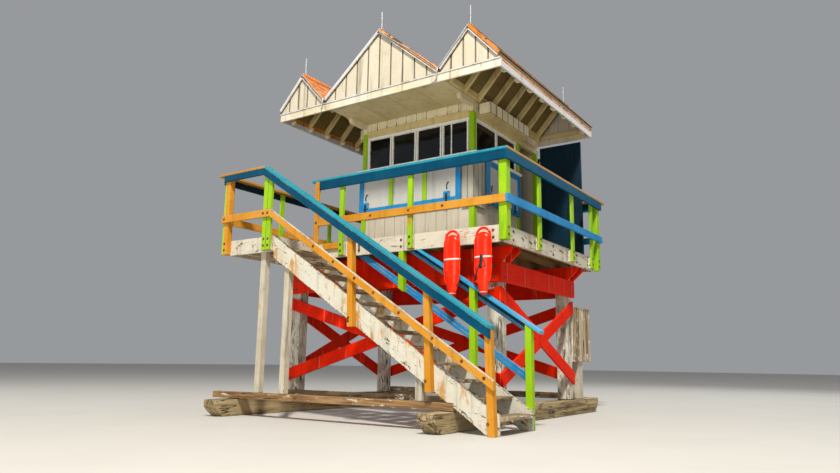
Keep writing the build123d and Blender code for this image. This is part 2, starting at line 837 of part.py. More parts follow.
def door():
    """The lapping door, standing open on three strap hinges, and the pintles on the rear post."""
    start = pin_x + leaf_pin_gap
    end = start + leaf_width
    low = floor_level + leaf_floor_gap
    face = pin_y + leaf_thick / 2
    leaf = block(start, end, pin_y - leaf_thick / 2, face, low, low + leaf_height)
    eye_radius = leaf_thick / 2 + strap_thick
    bore_radius = pin_radius + pin_clearance
    hardware = []
    pintles = []
    for level in hinge_levels:
        z = low + level
        eye_low = z + pin_clearance
        eye = Pos(pin_x, pin_y, eye_low + strap_height / 2) * Cylinder(eye_radius, strap_height)
        strap = block(pin_x, start + strap_length, face, face + strap_thick, eye_low, eye_low + strap_height)
        bore = Pos(pin_x, pin_y, eye_low + strap_height / 2) * Cylinder(bore_radius, strap_height)
        hardware.append(eye + strap - bore)
        arm = block(hut_right, pin_x, pin_y - arm_width / 2, pin_y + arm_width / 2, z - arm_height, z)
        arm += Pos(pin_x, pin_y, z - arm_height / 2) * Cylinder(arm_width / 2, arm_height)
        pin_length = strap_height + arm_height / 2
        arm += Pos(pin_x, pin_y, z - arm_height / 2 + pin_length / 2) * Cylinder(pin_radius, pin_length)
        pintles.append(arm)
    grip_x = end - handle_edge
    grip_z = low + handle_level
    half = handle_length / 2
    out = face + handle_stand
    bar = block(grip_x, grip_x + handle_bar, out - handle_bar, out, grip_z - half, grip_z + half)
    for z0 in (grip_z - half, grip_z + half - handle_bar):
        bar += block(grip_x, grip_x + handle_bar, face, out, z0, z0 + handle_bar)
    hardware.append(bar)
    knob_y = pin_y - leaf_thick / 2 - knob_stand / 2
    knob = Pos(end - knob_edge, knob_y, low + knob_level) * Rot(90, 0, 0) * Cylinder(knob_radius, knob_stand)
    hardware.append(knob)
    return {"door_leaf": [leaf], "door_hardware": hardware, "door_pintles": pintles}


def slope_slab(x0, z0, x1, z1, thick, y0, y1):
    """A sloping plate with upright ends, its underside running between two points."""
    fall = thick * ((x1 - x0) ** 2 + (z1 - z0) ** 2) ** 0.5 / abs(x1 - x0)
    return board_xz([(x0, z0), (x1, z1), (x1, z1 + fall), (x0, z0 + fall)], y0, y1)


def roof():
    """Three gables side by side, with their ends, eaves, valley beams, side rafters and rods."""
    base = eave_base
    middle_x = (hut_left + hut_right) / 2
    middle_z = base + middle_rise
    side_z = base + side_rise
    side_half = eave_overhang / 2
    right_ridge = hut_right + side_half
    left_ridge = hut_left - side_half
    y0 = roof_front - roof_lip
    y1 = roof_rear + roof_lip
    middle_left = slope_slab(hut_left, base, middle_x, middle_z, roof_thick, y0, y1)
    middle_right = slope_slab(hut_right, base, middle_x, middle_z, roof_thick, y0, y1)
    inner = [
        slope_slab(hut_left, base, left_ridge, side_z, roof_thick, y0, y1),
        slope_slab(hut_right, base, right_ridge, side_z, roof_thick, y0, y1),
    ]
    outer = [
        slope_slab(eave_left, base, left_ridge, side_z, roof_thick, y0, y1),
        slope_slab(eave_right, base, right_ridge, side_z, roof_thick, y0, y1),
    ]
    middle_slope = middle_rise / (hut_width / 2)
    side_slope = side_rise / side_half
    half = valley_beam_width / 2
    inner_front = roof_front + eave_board_thick
    inner_rear = roof_rear - eave_board_thick
    valleys = []
    for x, side in ((hut_right, 1), (hut_left, -1)):
        outline = [
            (x - side * half, ceiling_top),
            (x + side * half, ceiling_top),
            (x + side * half, base + half * side_slope),
            (x, base),
            (x - side * half, base + half * middle_slope),
        ]
        valleys.append(board_xz(outline, inner_front, inner_rear))
    eave_low = base - eave_board_height
    bevel = eave_board_thick * side_slope
    boards = [
        block(eave_left, eave_right, roof_front, inner_front, eave_low, base),
        block(eave_left, eave_right, inner_rear, roof_rear, eave_low, base),
    ]
    for x, side in ((eave_right, -1), (eave_left, 1)):
        inner_x = x + side * eave_board_thick
        outline = [(x, eave_low), (x, base), (inner_x, base + bevel), (inner_x, eave_low)]
        boards.append(board_xz(outline, inner_front + joint_gap, inner_rear - joint_gap))
    gables = []
    for front, rear in ((inner_front - gable_thick, inner_front), (inner_rear, inner_rear + gable_thick)):
        gables.append(board_xz([(hut_left, base), (hut_right, base), (middle_x, middle_z)], front, rear))
        for valley, ridge, eave in ((hut_left, left_ridge, eave_left), (hut_right, right_ridge, eave_right)):
            inside = valley + joint_gap if eave > valley else valley - joint_gap
            gables.append(board_xz([(inside, base), (eave, base), (ridge, side_z)], front, rear))
    drop = rafter_depth * (1 + side_slope ** 2) ** 0.5
    rafters = []
    count = ceil((inner_rear - inner_front) / rafter_pitch)
    start = inner_front + (inner_rear - inner_front - (count - 1) * rafter_pitch) / 2
    for x, side in ((hut_right, 1), (hut_left, -1)):
        low_x = x + side * half
        ridge_x = x + side * side_half
        eave_x = x + side * (eave_overhang - eave_board_thick)
        low_z = base + half * side_slope
        eave_z = base + bevel
        low_foot = low_z - drop
        eave_foot = eave_z - drop
        gap = side * joint_gap / 2
        gap_z = side_z - joint_gap / 2 * side_slope
        halves = (
            [(low_x, low_z), (ridge_x - gap, gap_z), (ridge_x - gap, gap_z - drop), (low_x, low_foot)],
            [(ridge_x + gap, gap_z), (eave_x, eave_z), (eave_x, eave_foot), (ridge_x + gap, gap_z - drop)],
        )
        for index in range(count):
            y = start + index * rafter_pitch
            for outline in halves:
                rafters.append(board_xz(outline, y - rafter_thick / 2, y + rafter_thick / 2))
    rods = []
    ridges = (
        (left_ridge, side_z, inner[0], outer[0]),
        (middle_x, middle_z, middle_left, middle_right),
        (right_ridge, side_z, inner[1], outer[1]),
    )
    for ridge_x, ridge_z, left_slab, right_slab in ridges:
        peak = ridge_z + roof_thick * slope_factor_of(ridge_x, middle_x, middle_slope, side_slope)
        for y in (y0 + rod_end_inset, y1 - rod_end_inset):
            foot = Pos(ridge_x, y, peak) * Cylinder(rod_base_radius, 2 * rod_base_height)
            rod = Pos(ridge_x, y, peak + rod_height / 2) * Cylinder(rod_radius, rod_height)
            rods.append(foot + rod - left_slab - right_slab)
    return {
        "roof_middle_left": [middle_left],
        "roof_middle_right": [middle_right],
        "roof_inner_slopes": inner,
        "roof_outer_slopes": outer,
        "valley_beams": valleys,
        "eave_boards": boards,
        "gable_ends": gables,
        "side_rafters": rafters,
        "lightning_rods": rods,
    }


def slope_factor_of(ridge_x, middle_x, middle_slope, side_slope):
    """How much a roof plate's upright thickness exceeds its square thickness at a ridge."""
    slope = middle_slope if ridge_x == middle_x else side_slope
    return (1 + slope ** 2) ** 0.5


def slatted_box():
    """An open wooden box with upright slats, carried by its own post behind the rear right leg."""
    x1 = leg_right + girder_thick / 2
    x0 = x1 - box_width
    y0 = leg_rear + board_thick
    y1 = y0 + box_depth
    z0 = box_foot
    z1 = box_foot + box_height
    t = box_board
    body = block(x0, x1, y0, y1, z0, z0 + t) + block(x0, x1, y0, y1, z1 - t, z1)
    body += block(x0, x0 + t, y0, y1, z0 + t, z1 - t)
    body += block(x0 + t, x1, y0, y0 + t, z0 + t, z1 - t)
    body += block(x0 + t, x1, y1 - t, y1, z0 + t, z1 - t)
    space = (y1 - y0 - 2 * t - box_slat_count * box_slat_width) / (box_slat_count + 1)
    for index in range(box_slat_count):
        a0 = y0 + t + space + index * (box_slat_width + space)
        body += block(x1 - t, x1, a0, a0 + box_slat_width, z0 + t, z1 - t)
    return {"slatted_box": [body]}


def rescue_cans():
    """Two rescue cans that hang on cleats on the front fascia."""
    cans = []
    cleats = []
    top = deck_underside + can_top_level
    middle_z = top - can_length / 2
    for x in can_places:
        shape = Box(can_width, can_thick, can_length)
        shape = fillet(shape.edges().filter_by(Axis.Y), can_corner)
        shape = fillet(shape.faces().filter_by(Axis.Y).sort_by(Axis.Y)[0].edges(), can_edge)
        cans.append(Pos(x, -cleat_thick - can_thick / 2, middle_z) * shape)
        cleat_top = top - cleat_drop
        cleats.append(block(x - cleat_width / 2, x + cleat_width / 2, -cleat_thick, 0,
                            cleat_top - cleat_height, cleat_top))
    return {"rescue_cans": cans, "can_cleats": cleats}


pieces = {}
for make in (ground_works, red_frame, deck, landing, stair, guards, hut_walls, hoods, corbels, windows,
             shutters, door, roof, slatted_box, rescue_cans):
    pieces.update(make())

everything = Compound(children=[solid for group in pieces.values() for item in group
                                for solid in item.solids()])
box = everything.bounding_box()
shift = Vector(-(box.min.X + box.max.X) / 2, -(box.min.Y + box.max.Y) / 2, -box.min.Z)

os.makedirs("parts", exist_ok=True)
for name, group in pieces.items():
    solids = [solid.moved(Location(shift)) for item in group for solid in item.solids()]
    export_step(solids[0] if len(solids) == 1 else Compound(children=solids), "parts/" + name + ".step")
    print(name, len(solids))
print("origin stands at", tuple(round(-value, 2) for value in shift))
print("door pin", round(pin_x + shift.X, 3), round(pin_y + shift.Y, 3), round(floor_level, 3))
print("size", tuple(round(value, 1) for value in box.size))
print("volume", round(sum(solid.volume for group in pieces.values() for item in group
                          for solid in item.solids()) / 1e9, 4))
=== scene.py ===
"""A lifeguard tower on skids: boards, paint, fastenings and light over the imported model.

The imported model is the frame. Each timber node is copied, parted into its boards, given worn edges
and a board's own grain, and painted by its place. Nothing is moved away from where the frame has it.
"""

from __future__ import annotations

import logging
import math
from dataclasses import dataclass, field
from enum import Enum
from functools import cache, partial
from typing import Callable, Iterable, Sequence

import bmesh
import bpy
from bpy.types import Material, Mesh, Node, NodeSocket, NodeTree, Object
from mathutils import Matrix, Vector, noise


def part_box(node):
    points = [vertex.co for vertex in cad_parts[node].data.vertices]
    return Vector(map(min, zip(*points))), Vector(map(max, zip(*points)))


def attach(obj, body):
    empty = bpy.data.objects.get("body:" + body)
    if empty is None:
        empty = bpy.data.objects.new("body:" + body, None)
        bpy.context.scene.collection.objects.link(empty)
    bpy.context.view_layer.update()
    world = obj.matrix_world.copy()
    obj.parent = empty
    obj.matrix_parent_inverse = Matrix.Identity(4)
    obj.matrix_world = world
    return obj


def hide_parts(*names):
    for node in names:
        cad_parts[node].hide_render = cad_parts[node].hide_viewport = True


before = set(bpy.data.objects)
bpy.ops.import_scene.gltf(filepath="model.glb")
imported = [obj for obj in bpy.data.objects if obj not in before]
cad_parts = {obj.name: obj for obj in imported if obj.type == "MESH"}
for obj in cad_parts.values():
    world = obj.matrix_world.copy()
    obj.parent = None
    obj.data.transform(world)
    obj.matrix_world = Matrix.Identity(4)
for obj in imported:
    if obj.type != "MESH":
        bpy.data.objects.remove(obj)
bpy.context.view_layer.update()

log = logging.getLogger("tower")
Colour = tuple[float, float, float]
Sockets = dict[str, NodeSocket]
BMesh = bmesh.types.BMesh
BMVert = bmesh.types.BMVert
X, Y, Z = Vector((1, 0, 0)), Vector((0, 1, 0)), Vector((0, 0, 1))


class Body(Enum):
    """The parts of the tower that move apart."""

    TOWER = "tower"
    DOOR = "door"


# Shader work


@dataclass
class Wiring:
    """Lays nodes in one tree and joins them."""

    tree: NodeTree

    def put(self, socket: NodeSocket, value: object) -> None:
        """Joins a socket to another one, or gives it a plain value.

        Args:
            socket: The input to fill.
            value: An output socket, a number, a vector or a colour.
        """
        if isinstance(value, NodeSocket):
            self.tree.links.new(value, socket)
        elif isinstance(value, (tuple, Vector)) and socket.type == "RGBA" and len(value) == 3:
            socket.default_value = (*value, 1.0)
        else:
            socket.default_value = value

    def node(self, kind: str, inputs: dict[object, object] | None = None, **settings: object) -> Node:
        """Adds a node with its settings and inputs.

        Args:
            kind: Blender's name for the node.
            inputs: Values by socket name or number.
            settings: Properties of the node.

        Returns:
            The new node.
        """
        made = self.tree.nodes.new(kind)
        for key, value in settings.items():
            setattr(made, key, value)
        for key, value in (inputs or {}).items():
            self.put(made.inputs[key], value)
        return made

    def first(self, kind: str, inputs: dict[object, object], **settings: object) -> NodeSocket:
        """Adds a node and returns its first output."""
        return self.node(kind, inputs, **settings).outputs[0]

    def math(self, operation: str, *values: object, clamp: bool = False) -> NodeSocket:
        """Adds a math node and returns its result."""
        return self.first("ShaderNodeMath", dict(enumerate(values)), operation=operation, use_clamp=clamp)

    def times(self, one: object, other: object) -> NodeSocket:
        """Multiplies two values."""
        return self.math("MULTIPLY", one, other)

    def plus(self, one: object, other: object, clamp: bool = False) -> NodeSocket:
        """Adds two values."""
        return self.math("ADD", one, other, clamp=clamp)

    def minus(self, one: object, other: object) -> NodeSocket:
        """Takes one value from another."""
        return self.math("SUBTRACT", one, other)

    def vector(self, operation: str, *values: object) -> NodeSocket:
        """Adds a vector math node and returns its vector."""
        return self.first("ShaderNodeVectorMath", dict(enumerate(values)), operation=operation)

    def stretch(self, at: object, x: float, y: float, z: float) -> NodeSocket:
        """Scales a place along each direction."""
        return self.vector("MULTIPLY", at, Vector((x, y, z)))

    def noise(self, at: object, scale: object, detail: float = 4.0, rough: float = 0.55,
            warp: float = 0.0) -> NodeSocket:
        """Adds noise from 0 to 1, with its features in a metre, octaves, share of the fine ones and warp."""
        inputs = {"Vector": at, "Scale": scale, "Detail": detail, "Roughness": rough, "Distortion": warp}
        return self.first("ShaderNodeTexNoise", inputs)

    def step(self, value: object, low: object, high: object, start: float = 0.0,
            end: float = 1.0) -> NodeSocket:
        """Adds a smooth step from start, where the value is low, to end, where it is high."""
        inputs = {0: value, 1: low, 2: high, 3: start, 4: end}
        return self.first("ShaderNodeMapRange", inputs, interpolation_type="SMOOTHSTEP")

    def mix(self, share: object, first: object, second: object, blend: str = "MIX") -> NodeSocket:
        """Adds a colour mix and returns its colour."""
        made = self.node("ShaderNodeMix", {0: share, 6: first, 7: second}, data_type="RGBA", blend_type=blend)
        return made.outputs[2]

    def stain(self, share: object, strength: float, under: object, over: object,
            blend: str = "MIX") -> NodeSocket:
        """Mixes a colour over another one, by a mask and the strength of the whole."""
        return self.mix(self.times(share, strength), under, over, blend)

    def attribute(self, name: str, output: str) -> NodeSocket:
        """Reads one of the piece's own attributes."""
        return self.node("ShaderNodeAttribute", attribute_name=name).outputs[output]

    def place(self) -> NodeSocket:
        """Reads the place in the tower, in metres."""
        return self.node("ShaderNodeTexCoord").outputs["Object"]

    def feed(self, shader: Node, colour: object, rough: object, strength: float, depth: float,
            height: object) -> None:
        """Feeds a shader's colour, roughness and bumps.

        Args:
            shader: The Principled shader.
            colour: Its base colour.
            rough: Its roughness.
            strength: How strong the bumps are.
            depth: How deep they are in metres.
            height: Where they rise.
        """
        self.put(shader.inputs["Base Color"], colour)
        self.put(shader.inputs["Roughness"], rough)
        bump = self.first("ShaderNodeBump", {"Strength": strength, "Distance": depth, "Height": height})
        self.put(shader.inputs["Normal"], bump)


@dataclass
class Effect:
    """A shader group that more than one finish uses, built on its first use."""

    name: str
    inputs: dict[str, float]
    lay: Callable[[Wiring, Sockets], Sockets]
    tree: NodeTree | None = None

    def build(self) -> NodeTree:
        """Builds the group.

        Returns:
            The group's tree.
        """
        tree = bpy.data.node_groups.new(self.name, "ShaderNodeTree")
        for key, value in self.inputs.items():
            tree.interface.new_socket(key, in_out="INPUT", socket_type="NodeSocketFloat").default_value = value
        entry = tree.nodes.new("NodeGroupInput")
        results = self.lay(Wiring(tree), {key: entry.outputs[key] for key in self.inputs})
        for key in results:
            tree.interface.new_socket(key, in_out="OUTPUT", socket_type="NodeSocketFloat")
        end = tree.nodes.new("NodeGroupOutput")
        for key, socket in results.items():
            tree.links.new(socket, end.inputs[key])
        return tree

    def use(self, w: Wiring, **values: float) -> Sockets:
        """Places the group in a material.

        Args:
            w: The material's wiring.
            values: Input values, with _ for a space in the name.

        Returns:
            The group's outputs by name.
        """
        self.tree = self.tree or self.build()
        inputs = {key.replace("_", " "): value for key, value in values.items()}
        return w.node("ShaderNodeGroup", inputs, node_tree=self.tree).outputs


@partial(Effect, "Timber grain", {"Along": 2.2, "Across": 55.0, "Crack width": 1.0})
def timber_grain(w: Wiring, given: Sockets) -> Sockets:
    """Lays the grain, cracks and flakes of a board, along its own length.

    Args:
        w: The group's wiring.
        given: Its inputs by name.

    Returns:
        Its outputs by name.
    """
    seed = w.attribute("seed", "Fac")
    shift = w.first("ShaderNodeCombineXYZ", {i: w.times(seed, much) for i, much in enumerate((31.7, 17.9, 11.3))})
    at = w.vector("ADD", w.attribute("board", "Vector"), shift)
    shape = w.first("ShaderNodeCombineXYZ", {0: given["Along"], 1: given["Across"], 2: given["Across"]})
    drawn = w.vector("MULTIPLY", at, shape)
    band = w.math("ABSOLUTE", w.minus(w.noise(drawn, 0.42, 2.0, 0.4, 0.9), 0.5))
    kept = w.step(w.noise(at, 3.1, 2.0, 0.5), 0.47, 0.6)
    line = w.step(band, 0.0, w.times(given["Crack width"], 0.012), 1.0, 0.0)
    return {"Fibre": w.noise(drawn, 1.0, 6.0, 0.62, 0.35), "Broad": w.noise(drawn, 0.22, 3.0, 0.5, 0.8),
            "Crack": w.times(line, kept), "Flake": w.noise(w.stretch(at, 5.0, 17.0, 17.0), 1.0, 8.0, 0.72, 0.6)}


@partial(Effect, "Board edges", {"Width": 0.006, "Joint": 0.0})
def board_edges(w: Wiring, given: Sockets) -> Sockets:
    """Lays the wear along a board's edges, and the dark joint beside its neighbour.

    Args:
        w: The group's wiring.
        given: Its inputs by name.

    Returns:
        Its outputs by name.
    """
    gap = w.vector("SUBTRACT", w.attribute("reach", "Vector"), w.vector("ABSOLUTE", w.attribute("board", "Vector")))
    parts = w.node("ShaderNodeSeparateXYZ", {0: gap}).outputs
    low, high = w.math("MINIMUM", parts[0], parts[1]), w.math("MAXIMUM", parts[0], parts[1])
    second = w.math("MAXIMUM", low, w.math("MINIMUM", high, parts[2]))
    at = w.place()
    ragged = w.minus(w.noise(at, 24.0, 6.0, 0.7), 0.52)
    broad = w.minus(w.noise(at, 3.3, 3.0, 0.6), 0.5)
    moved = w.plus(second, w.times(given["Width"], w.plus(w.times(ragged, 6.0), w.times(broad, 5.0))))
    return {"Worn": w.step(moved, 0.0, given["Width"], 1.0, 0.0),
            "Joint": w.step(second, w.times(given["Joint"], 0.5), given["Joint"], 1.0, 0.0)}


@partial(Effect, "Weather", {"Drip scale": 9.0})
def weathering(w: Wiring, given: Sockets) -> Sockets:
    """Lays drips, specks and blotches over the whole tower.

    Args:
        w: The group's wiring.
        given: Its inputs by name.

    Returns:
        Its outputs by name.
    """
    at = w.place()
    drip = w.step(w.noise(w.stretch(at, 1.0, 1.0, 0.07), given["Drip scale"], 4.0, 0.6), 0.52, 0.75)
    return {"Drip": drip, "Speck": w.step(w.noise(at, 70.0, 3.0, 0.6), 0.66, 0.72),
            "Blotch": w.noise(at, 2.3, 5.0, 0.6, 0.3)}


class Finish:
    """What every finish can do: give its material once."""

    name: str
    slot: str
    gloss: float = 0.5
    made: dict[str, Material] = {}

    def material(self) -> Material:
        """Gives the finish's material, built on its first use.

        Returns:
            The material.
        """
        if self.name not in Finish.made:
            made = bpy.data.materials.new(self.name)
            made.use_nodes = True
            made.node_tree.nodes.clear()
            w = Wiring(made.node_tree)
            shader = w.node("ShaderNodeBsdfPrincipled")
            shader.inputs["Specular IOR Level"].default_value = self.gloss
            self.lay(w, shader)
            w.node("ShaderNodeOutputMaterial", {"Surface": shader.outputs[0]})
            Finish.made[self.name] = made
        return Finish.made[self.name]

    def lay(self, w: Wiring, shader: Node) -> None:
        """Lays the nodes that feed the shader."""
        raise NotImplementedError


@dataclass(frozen=True)
class Paint(Finish):
    """Brushed paint on timber, with years of sun and salt on it."""

    name: str
    slot: str
    colour: Colour
    faded: Colour
    under: Colour = (0.46, 0.36, 0.23)
    edge: float = 0.005
    flaking: float = 0.3
    drips: float = 0.25
    specks: float = 0.25
    rust: float = 0.0
    joint: float = 0.0
    cracks: float = 0.35
    roughness: float = 0.5
    fade: float = 0.5
    runs: float = 0.0
    gloss: float = 0.16

    def coat(self, w: Wiring, grain: Sockets, weather: Sockets) -> NodeSocket:
        """Lays the paint itself, faded in broad patches and uneven along the grain.

        Args:
            w: The material's wiring.
            grain: Outputs of the grain.
            weather: Outputs of the weather.

        Returns:
            The colour of the paint.
        """
        faded = w.stain(w.step(weather["Blotch"], 0.35, 0.7), self.fade, self.colour, self.faded)
        shade = w.plus(w.plus(w.times(grain["Fibre"], 0.34), w.times(w.attribute("seed", "Fac"), 0.14)), 0.76)
        return w.mix(1.0, faded, w.first("ShaderNodeCombineColor", dict.fromkeys(range(3), shade)), "MULTIPLY")

    def lay(self, w: Wiring, shader: Node) -> None:
        """Lays paint, bare spots, dirt and rust.

        Args:
            w: The material's wiring.
            shader: The shader to feed.
        """
        grain = timber_grain.use(w, Along=2.0, Across=48.0, Crack_width=0.9)
        edges = board_edges.use(w, Width=self.edge, Joint=self.joint)
        weather = weathering.use(w, Drip_scale=9.0)
        level = 0.78 - 0.22 * self.flaking
        along = w.times(w.minus(grain["Broad"], 0.5), 0.35)
        bare = w.math("MAXIMUM", edges["Worn"], w.step(w.plus(grain["Flake"], along), level, level + 0.02))
        wood = w.mix(w.step(grain["Fibre"], 0.35, 0.65), tuple(c * 0.35 for c in self.under), self.under)
        colour = w.mix(bare, self.coat(w, grain, weather), wood)
        colour = w.stain(grain["Crack"], self.cracks, colour, (0.03, 0.022, 0.015))
        colour = w.stain(weather["Drip"], self.drips, colour, (0.12, 0.085, 0.05), "MULTIPLY")
        colour = w.stain(weather["Speck"], self.specks, colour, (0.07, 0.05, 0.035))
        if self.runs > 0.0:
            thin = w.step(w.noise(w.stretch(w.place(), 1.0, 1.0, 0.03), 24.0, 2.0), 0.66, 0.7)
            colour = w.stain(thin, self.runs, colour, (0.78, 0.42, 0.3))
        if self.rust > 0.0:
            cloud = w.noise(w.stretch(w.place(), 1.0, 1.0, 0.22), 6.5, 6.0, 0.7, 0.4)
            rusty = w.step(cloud, 0.7 - 0.15 * self.rust, 0.76 - 0.14 * self.rust)
            colour = w.stain(rusty, 0.85, colour, w.mix(grain["Broad"], (0.34, 0.11, 0.012), (0.6, 0.34, 0.04)))
        if self.joint > 0.0:
            colour = w.stain(edges["Joint"], 0.9, colour, (0.035, 0.026, 0.018))
        height = w.minus(w.times(grain["Fibre"], 0.35), w.times(grain["Crack"], 0.8))
        rough = w.plus(w.times(bare, 0.3), self.roughness, clamp=True)
        w.feed(shader, colour, rough, 0.55, 0.003, w.minus(height, w.times(bare, 0.35)))


@dataclass(frozen=True)
class BareTimber(Finish):
    """Timber that the weather has stripped, with what is left of old paint."""

    name: str
    slot: str
    light: Colour
    mid: Colour
    dark: Colour
    left_paint: Colour = (0.6, 0.56, 0.46)
    paint_share: float = 0.2
    cracks: float = 1.0
    crack_width: float = 2.0
    bump: float = 0.006
    gloss: float = 0.15

    def lay(self, w: Wiring, shader: Node) -> None:
        """Lays the grain, the cracks and the last of the paint.

        Args:
            w: The material's wiring.
            shader: The shader to feed.
        """
        grain = timber_grain.use(w, Along=1.6, Across=34.0, Crack_width=self.crack_width)
        edges = board_edges.use(w, Width=0.012, Joint=0.0)
        weather = weathering.use(w, Drip_scale=7.0)
        colour = w.mix(w.step(grain["Fibre"], 0.36, 0.64), self.dark, self.mid)
        pale = w.plus(grain["Broad"], w.times(w.attribute("seed", "Fac"), 0.2))
        colour = w.mix(w.step(pale, 0.45, 0.8), colour, self.light)
        level = 0.74 - 0.3 * self.paint_share
        left = w.step(w.plus(grain["Flake"], w.times(w.minus(weather["Blotch"], 0.5), 0.5)), level,
            level + 0.04)
        left = w.times(left, w.minus(1.0, w.times(edges["Worn"], 0.8)))
        colour = w.mix(left, colour, self.left_paint)
        colour = w.stain(edges["Worn"], 0.35, colour, self.light)
        colour = w.stain(grain["Crack"], self.cracks, colour, (0.02, 0.015, 0.01))
        colour = w.stain(weather["Speck"], 0.5, colour, (0.05, 0.035, 0.02))
        height = w.minus(w.times(grain["Fibre"], 0.6), w.times(grain["Crack"], 1.4))
        w.feed(shader, colour, w.minus(0.92, w.times(left, 0.2)), 0.8, self.bump,
            w.plus(height, w.times(left, 0.25)))


@dataclass(frozen=True)
class Metal(Finish):
    """Steel or iron in salt air."""

    name: str
    slot: str
    colour: Colour
    rust: float
    metallic: float = 0.8
    roughness: float = 0.45

    def lay(self, w: Wiring, shader: Node) -> None:
        """Lays steel under patches of rust.

        Args:
            w: The material's wiring.
            shader: The shader to feed.
        """
        at = w.place()
        cloud = w.noise(at, 40.0, 6.0, 0.7)
        rusty = w.step(cloud, 0.62 - 0.3 * self.rust, 0.7 - 0.25 * self.rust)
        tone = w.mix(w.noise(at, 160.0, 3.0), (0.16, 0.05, 0.012), (0.34, 0.13, 0.035))
        clean = w.mix(w.noise(at, 9.0, 3.0), tuple(c * 0.75 for c in self.colour), self.colour)
        w.put(shader.inputs["Metallic"], w.times(w.minus(1.0, rusty), self.metallic))
        rough = w.plus(w.times(rusty, 0.4), self.roughness, clamp=True)
        w.feed(shader, w.mix(rusty, clean, tone), rough, 0.4, 0.001, cloud)


@dataclass(frozen=True)
class Pane(Finish):
    """Dark tinted window glass with a film of salt."""

    name: str = "Dark window glass"
    slot: str = "window_glass"

    def lay(self, w: Wiring, shader: Node) -> None:
        """Lays dark glass with dusty patches.

        Args:
            w: The material's wiring.
            shader: The shader to feed.
        """
        dust = w.step(w.noise(w.place(), 3.0, 6.0, 0.65), 0.5, 0.85)
        w.put(shader.inputs["Base Color"], w.mix(dust, (0.004, 0.005, 0.007), (0.016, 0.018, 0.022)))
        w.put(shader.inputs["Roughness"], w.plus(w.times(dust, 0.22), 0.05))
        shader.inputs["Metallic"].default_value = 0.0
        shader.inputs["Transmission Weight"].default_value = 0.25
        shader.inputs["IOR"].default_value = 1.45


@dataclass(frozen=True)
class Moulded(Finish):
    """Moulded plastic or webbing, scuffed by use."""

    name: str
    slot: str
    colour: Colour
    scuff: Colour
    weave: float = 0.0
    roughness: float = 0.28
    gloss: float = 0.4

    def lay(self, w: Wiring, shader: Node) -> None:
        """Lays plastic with scuffs, or a woven strap.

        Args:
            w: The material's wiring.
            shader: The shader to feed.
        """
        at = w.place()
        cloud = w.noise(at, 8.0, 5.0, 0.6)
        scratch = w.step(w.noise(w.stretch(at, 60.0, 60.0, 9.0), 1.0, 4.0, 0.7), 0.66, 0.74)
        colour = w.mix(w.step(cloud, 0.4, 0.75, 0.0, 0.35), self.colour, self.scuff)
        colour = w.stain(scratch, 0.5, colour, self.scuff)
        height = w.noise(at, 220.0, 2.0)
        if self.weave > 0.0:
            ribs = w.node("ShaderNodeTexWave", {"Vector": at, "Scale": self.weave, "Distortion": 0.4},
                          bands_direction="DIAGONAL").outputs[1]
            height = w.plus(height, w.times(ribs, 2.0))
            colour = w.stain(ribs, 0.3, colour, tuple(c * 0.4 for c in self.colour))
        w.feed(shader, colour, w.plus(w.times(cloud, 0.25), self.roughness), 0.25, 0.0008, height)


# The finishes of the tower

TEAL = Paint("Teal cap paint", "blue_paint", (0.012, 0.235, 0.315), (0.05, 0.34, 0.41), (0.66, 0.52, 0.3),
    0.006, 0.35)
# Deep navy rail paint. On the far stair rail's upper part it is also painted shade for the cap's cast shadow.
NAVY_AND_CAP_SHADE = Paint("Deep blue rail paint and painted cap shade", "navy_paint", (0.0004, 0.05, 0.105), (0.001, 0.088, 0.165),
    (0.35, 0.24, 0.14), 0.003, 0.12, gloss=0.08)
# A brighter copy of the navy rail paint for the right side's top rails: painted light that lifts their shade.
SIDE_BLUE_PAINTED_LIGHT = Paint("Side rail paint with painted light", "navy_paint", (0.0005, 0.072, 0.145), (0.001, 0.11, 0.2),
    (0.35, 0.24, 0.14), 0.003, 0.12, gloss=0.03)
AZURE = Paint("Bright blue paint", "blue_paint", (0.004, 0.205, 0.5), (0.03, 0.32, 0.62), (0.46, 0.36, 0.22),
    0.006, 0.5)
FAR_CAP = Paint("Light blue cap paint", "blue_paint", (0.03, 0.31, 0.56), (0.1, 0.4, 0.62), (0.6, 0.3, 0.08),
    0.007, 0.6)
DOOR_NAVY = Paint("Door navy paint", "navy_paint", (0.0008, 0.016, 0.032), (0.001, 0.026, 0.048),
    (0.2, 0.17, 0.12), 0.002, 0.05)
ORANGE = Paint("Orange rail paint", "orange_paint", (0.56, 0.225, 0.01), (0.62, 0.3, 0.045), (0.58, 0.42, 0.22),
    0.004, 0.35, specks=0.6, fade=0.8)
CAP_TAN = Paint("Tan cap paint", "orange_paint", (0.42, 0.2, 0.033), (0.5, 0.29, 0.09), (0.56, 0.42, 0.26),
    0.005, 0.4)
WORN_ORANGE = Paint("Worn orange trim", "roof_paint", (0.62, 0.19, 0.022), (0.6, 0.33, 0.15),
    (0.14, 0.09, 0.05), 0.006, 0.9, drips=0.5, specks=1.0, rust=0.7, fade=1.0)
LIME = Paint("Lime post paint", "lime_paint", (0.25, 0.5, 0.004), (0.36, 0.54, 0.008), (0.5, 0.4, 0.14), 0.004,
    0.55, specks=0.8, rust=0.7, joint=0.003)
RED = Paint("Red frame paint", "red_paint", (0.76, 0.015, 0.0), (0.9, 0.03, 0.001), (0.45, 0.14, 0.06), 0.003,
    0.08, drips=0.45, specks=0.3, runs=0.3, gloss=0.05)
WHITE = Paint("White fascia paint", "white_paint", (0.62, 0.57, 0.47), (0.55, 0.49, 0.37), (0.2, 0.15, 0.1),
    0.004, 0.85, drips=0.5, specks=0.9, rust=0.4, cracks=0.9)
PALE_EDGE = Paint("Pale worn edge", "orange_paint", (0.6, 0.54, 0.42), (0.5, 0.42, 0.28), (0.3, 0.22, 0.13),
    0.003, 0.5, specks=0.9)
PEELING = Paint("Peeling stringer paint", "white_paint", (0.62, 0.6, 0.51), (0.54, 0.48, 0.35),
    (0.22, 0.14, 0.07), 0.01, 0.8, drips=0.5, specks=1.3, rust=1.12, cracks=1.0)
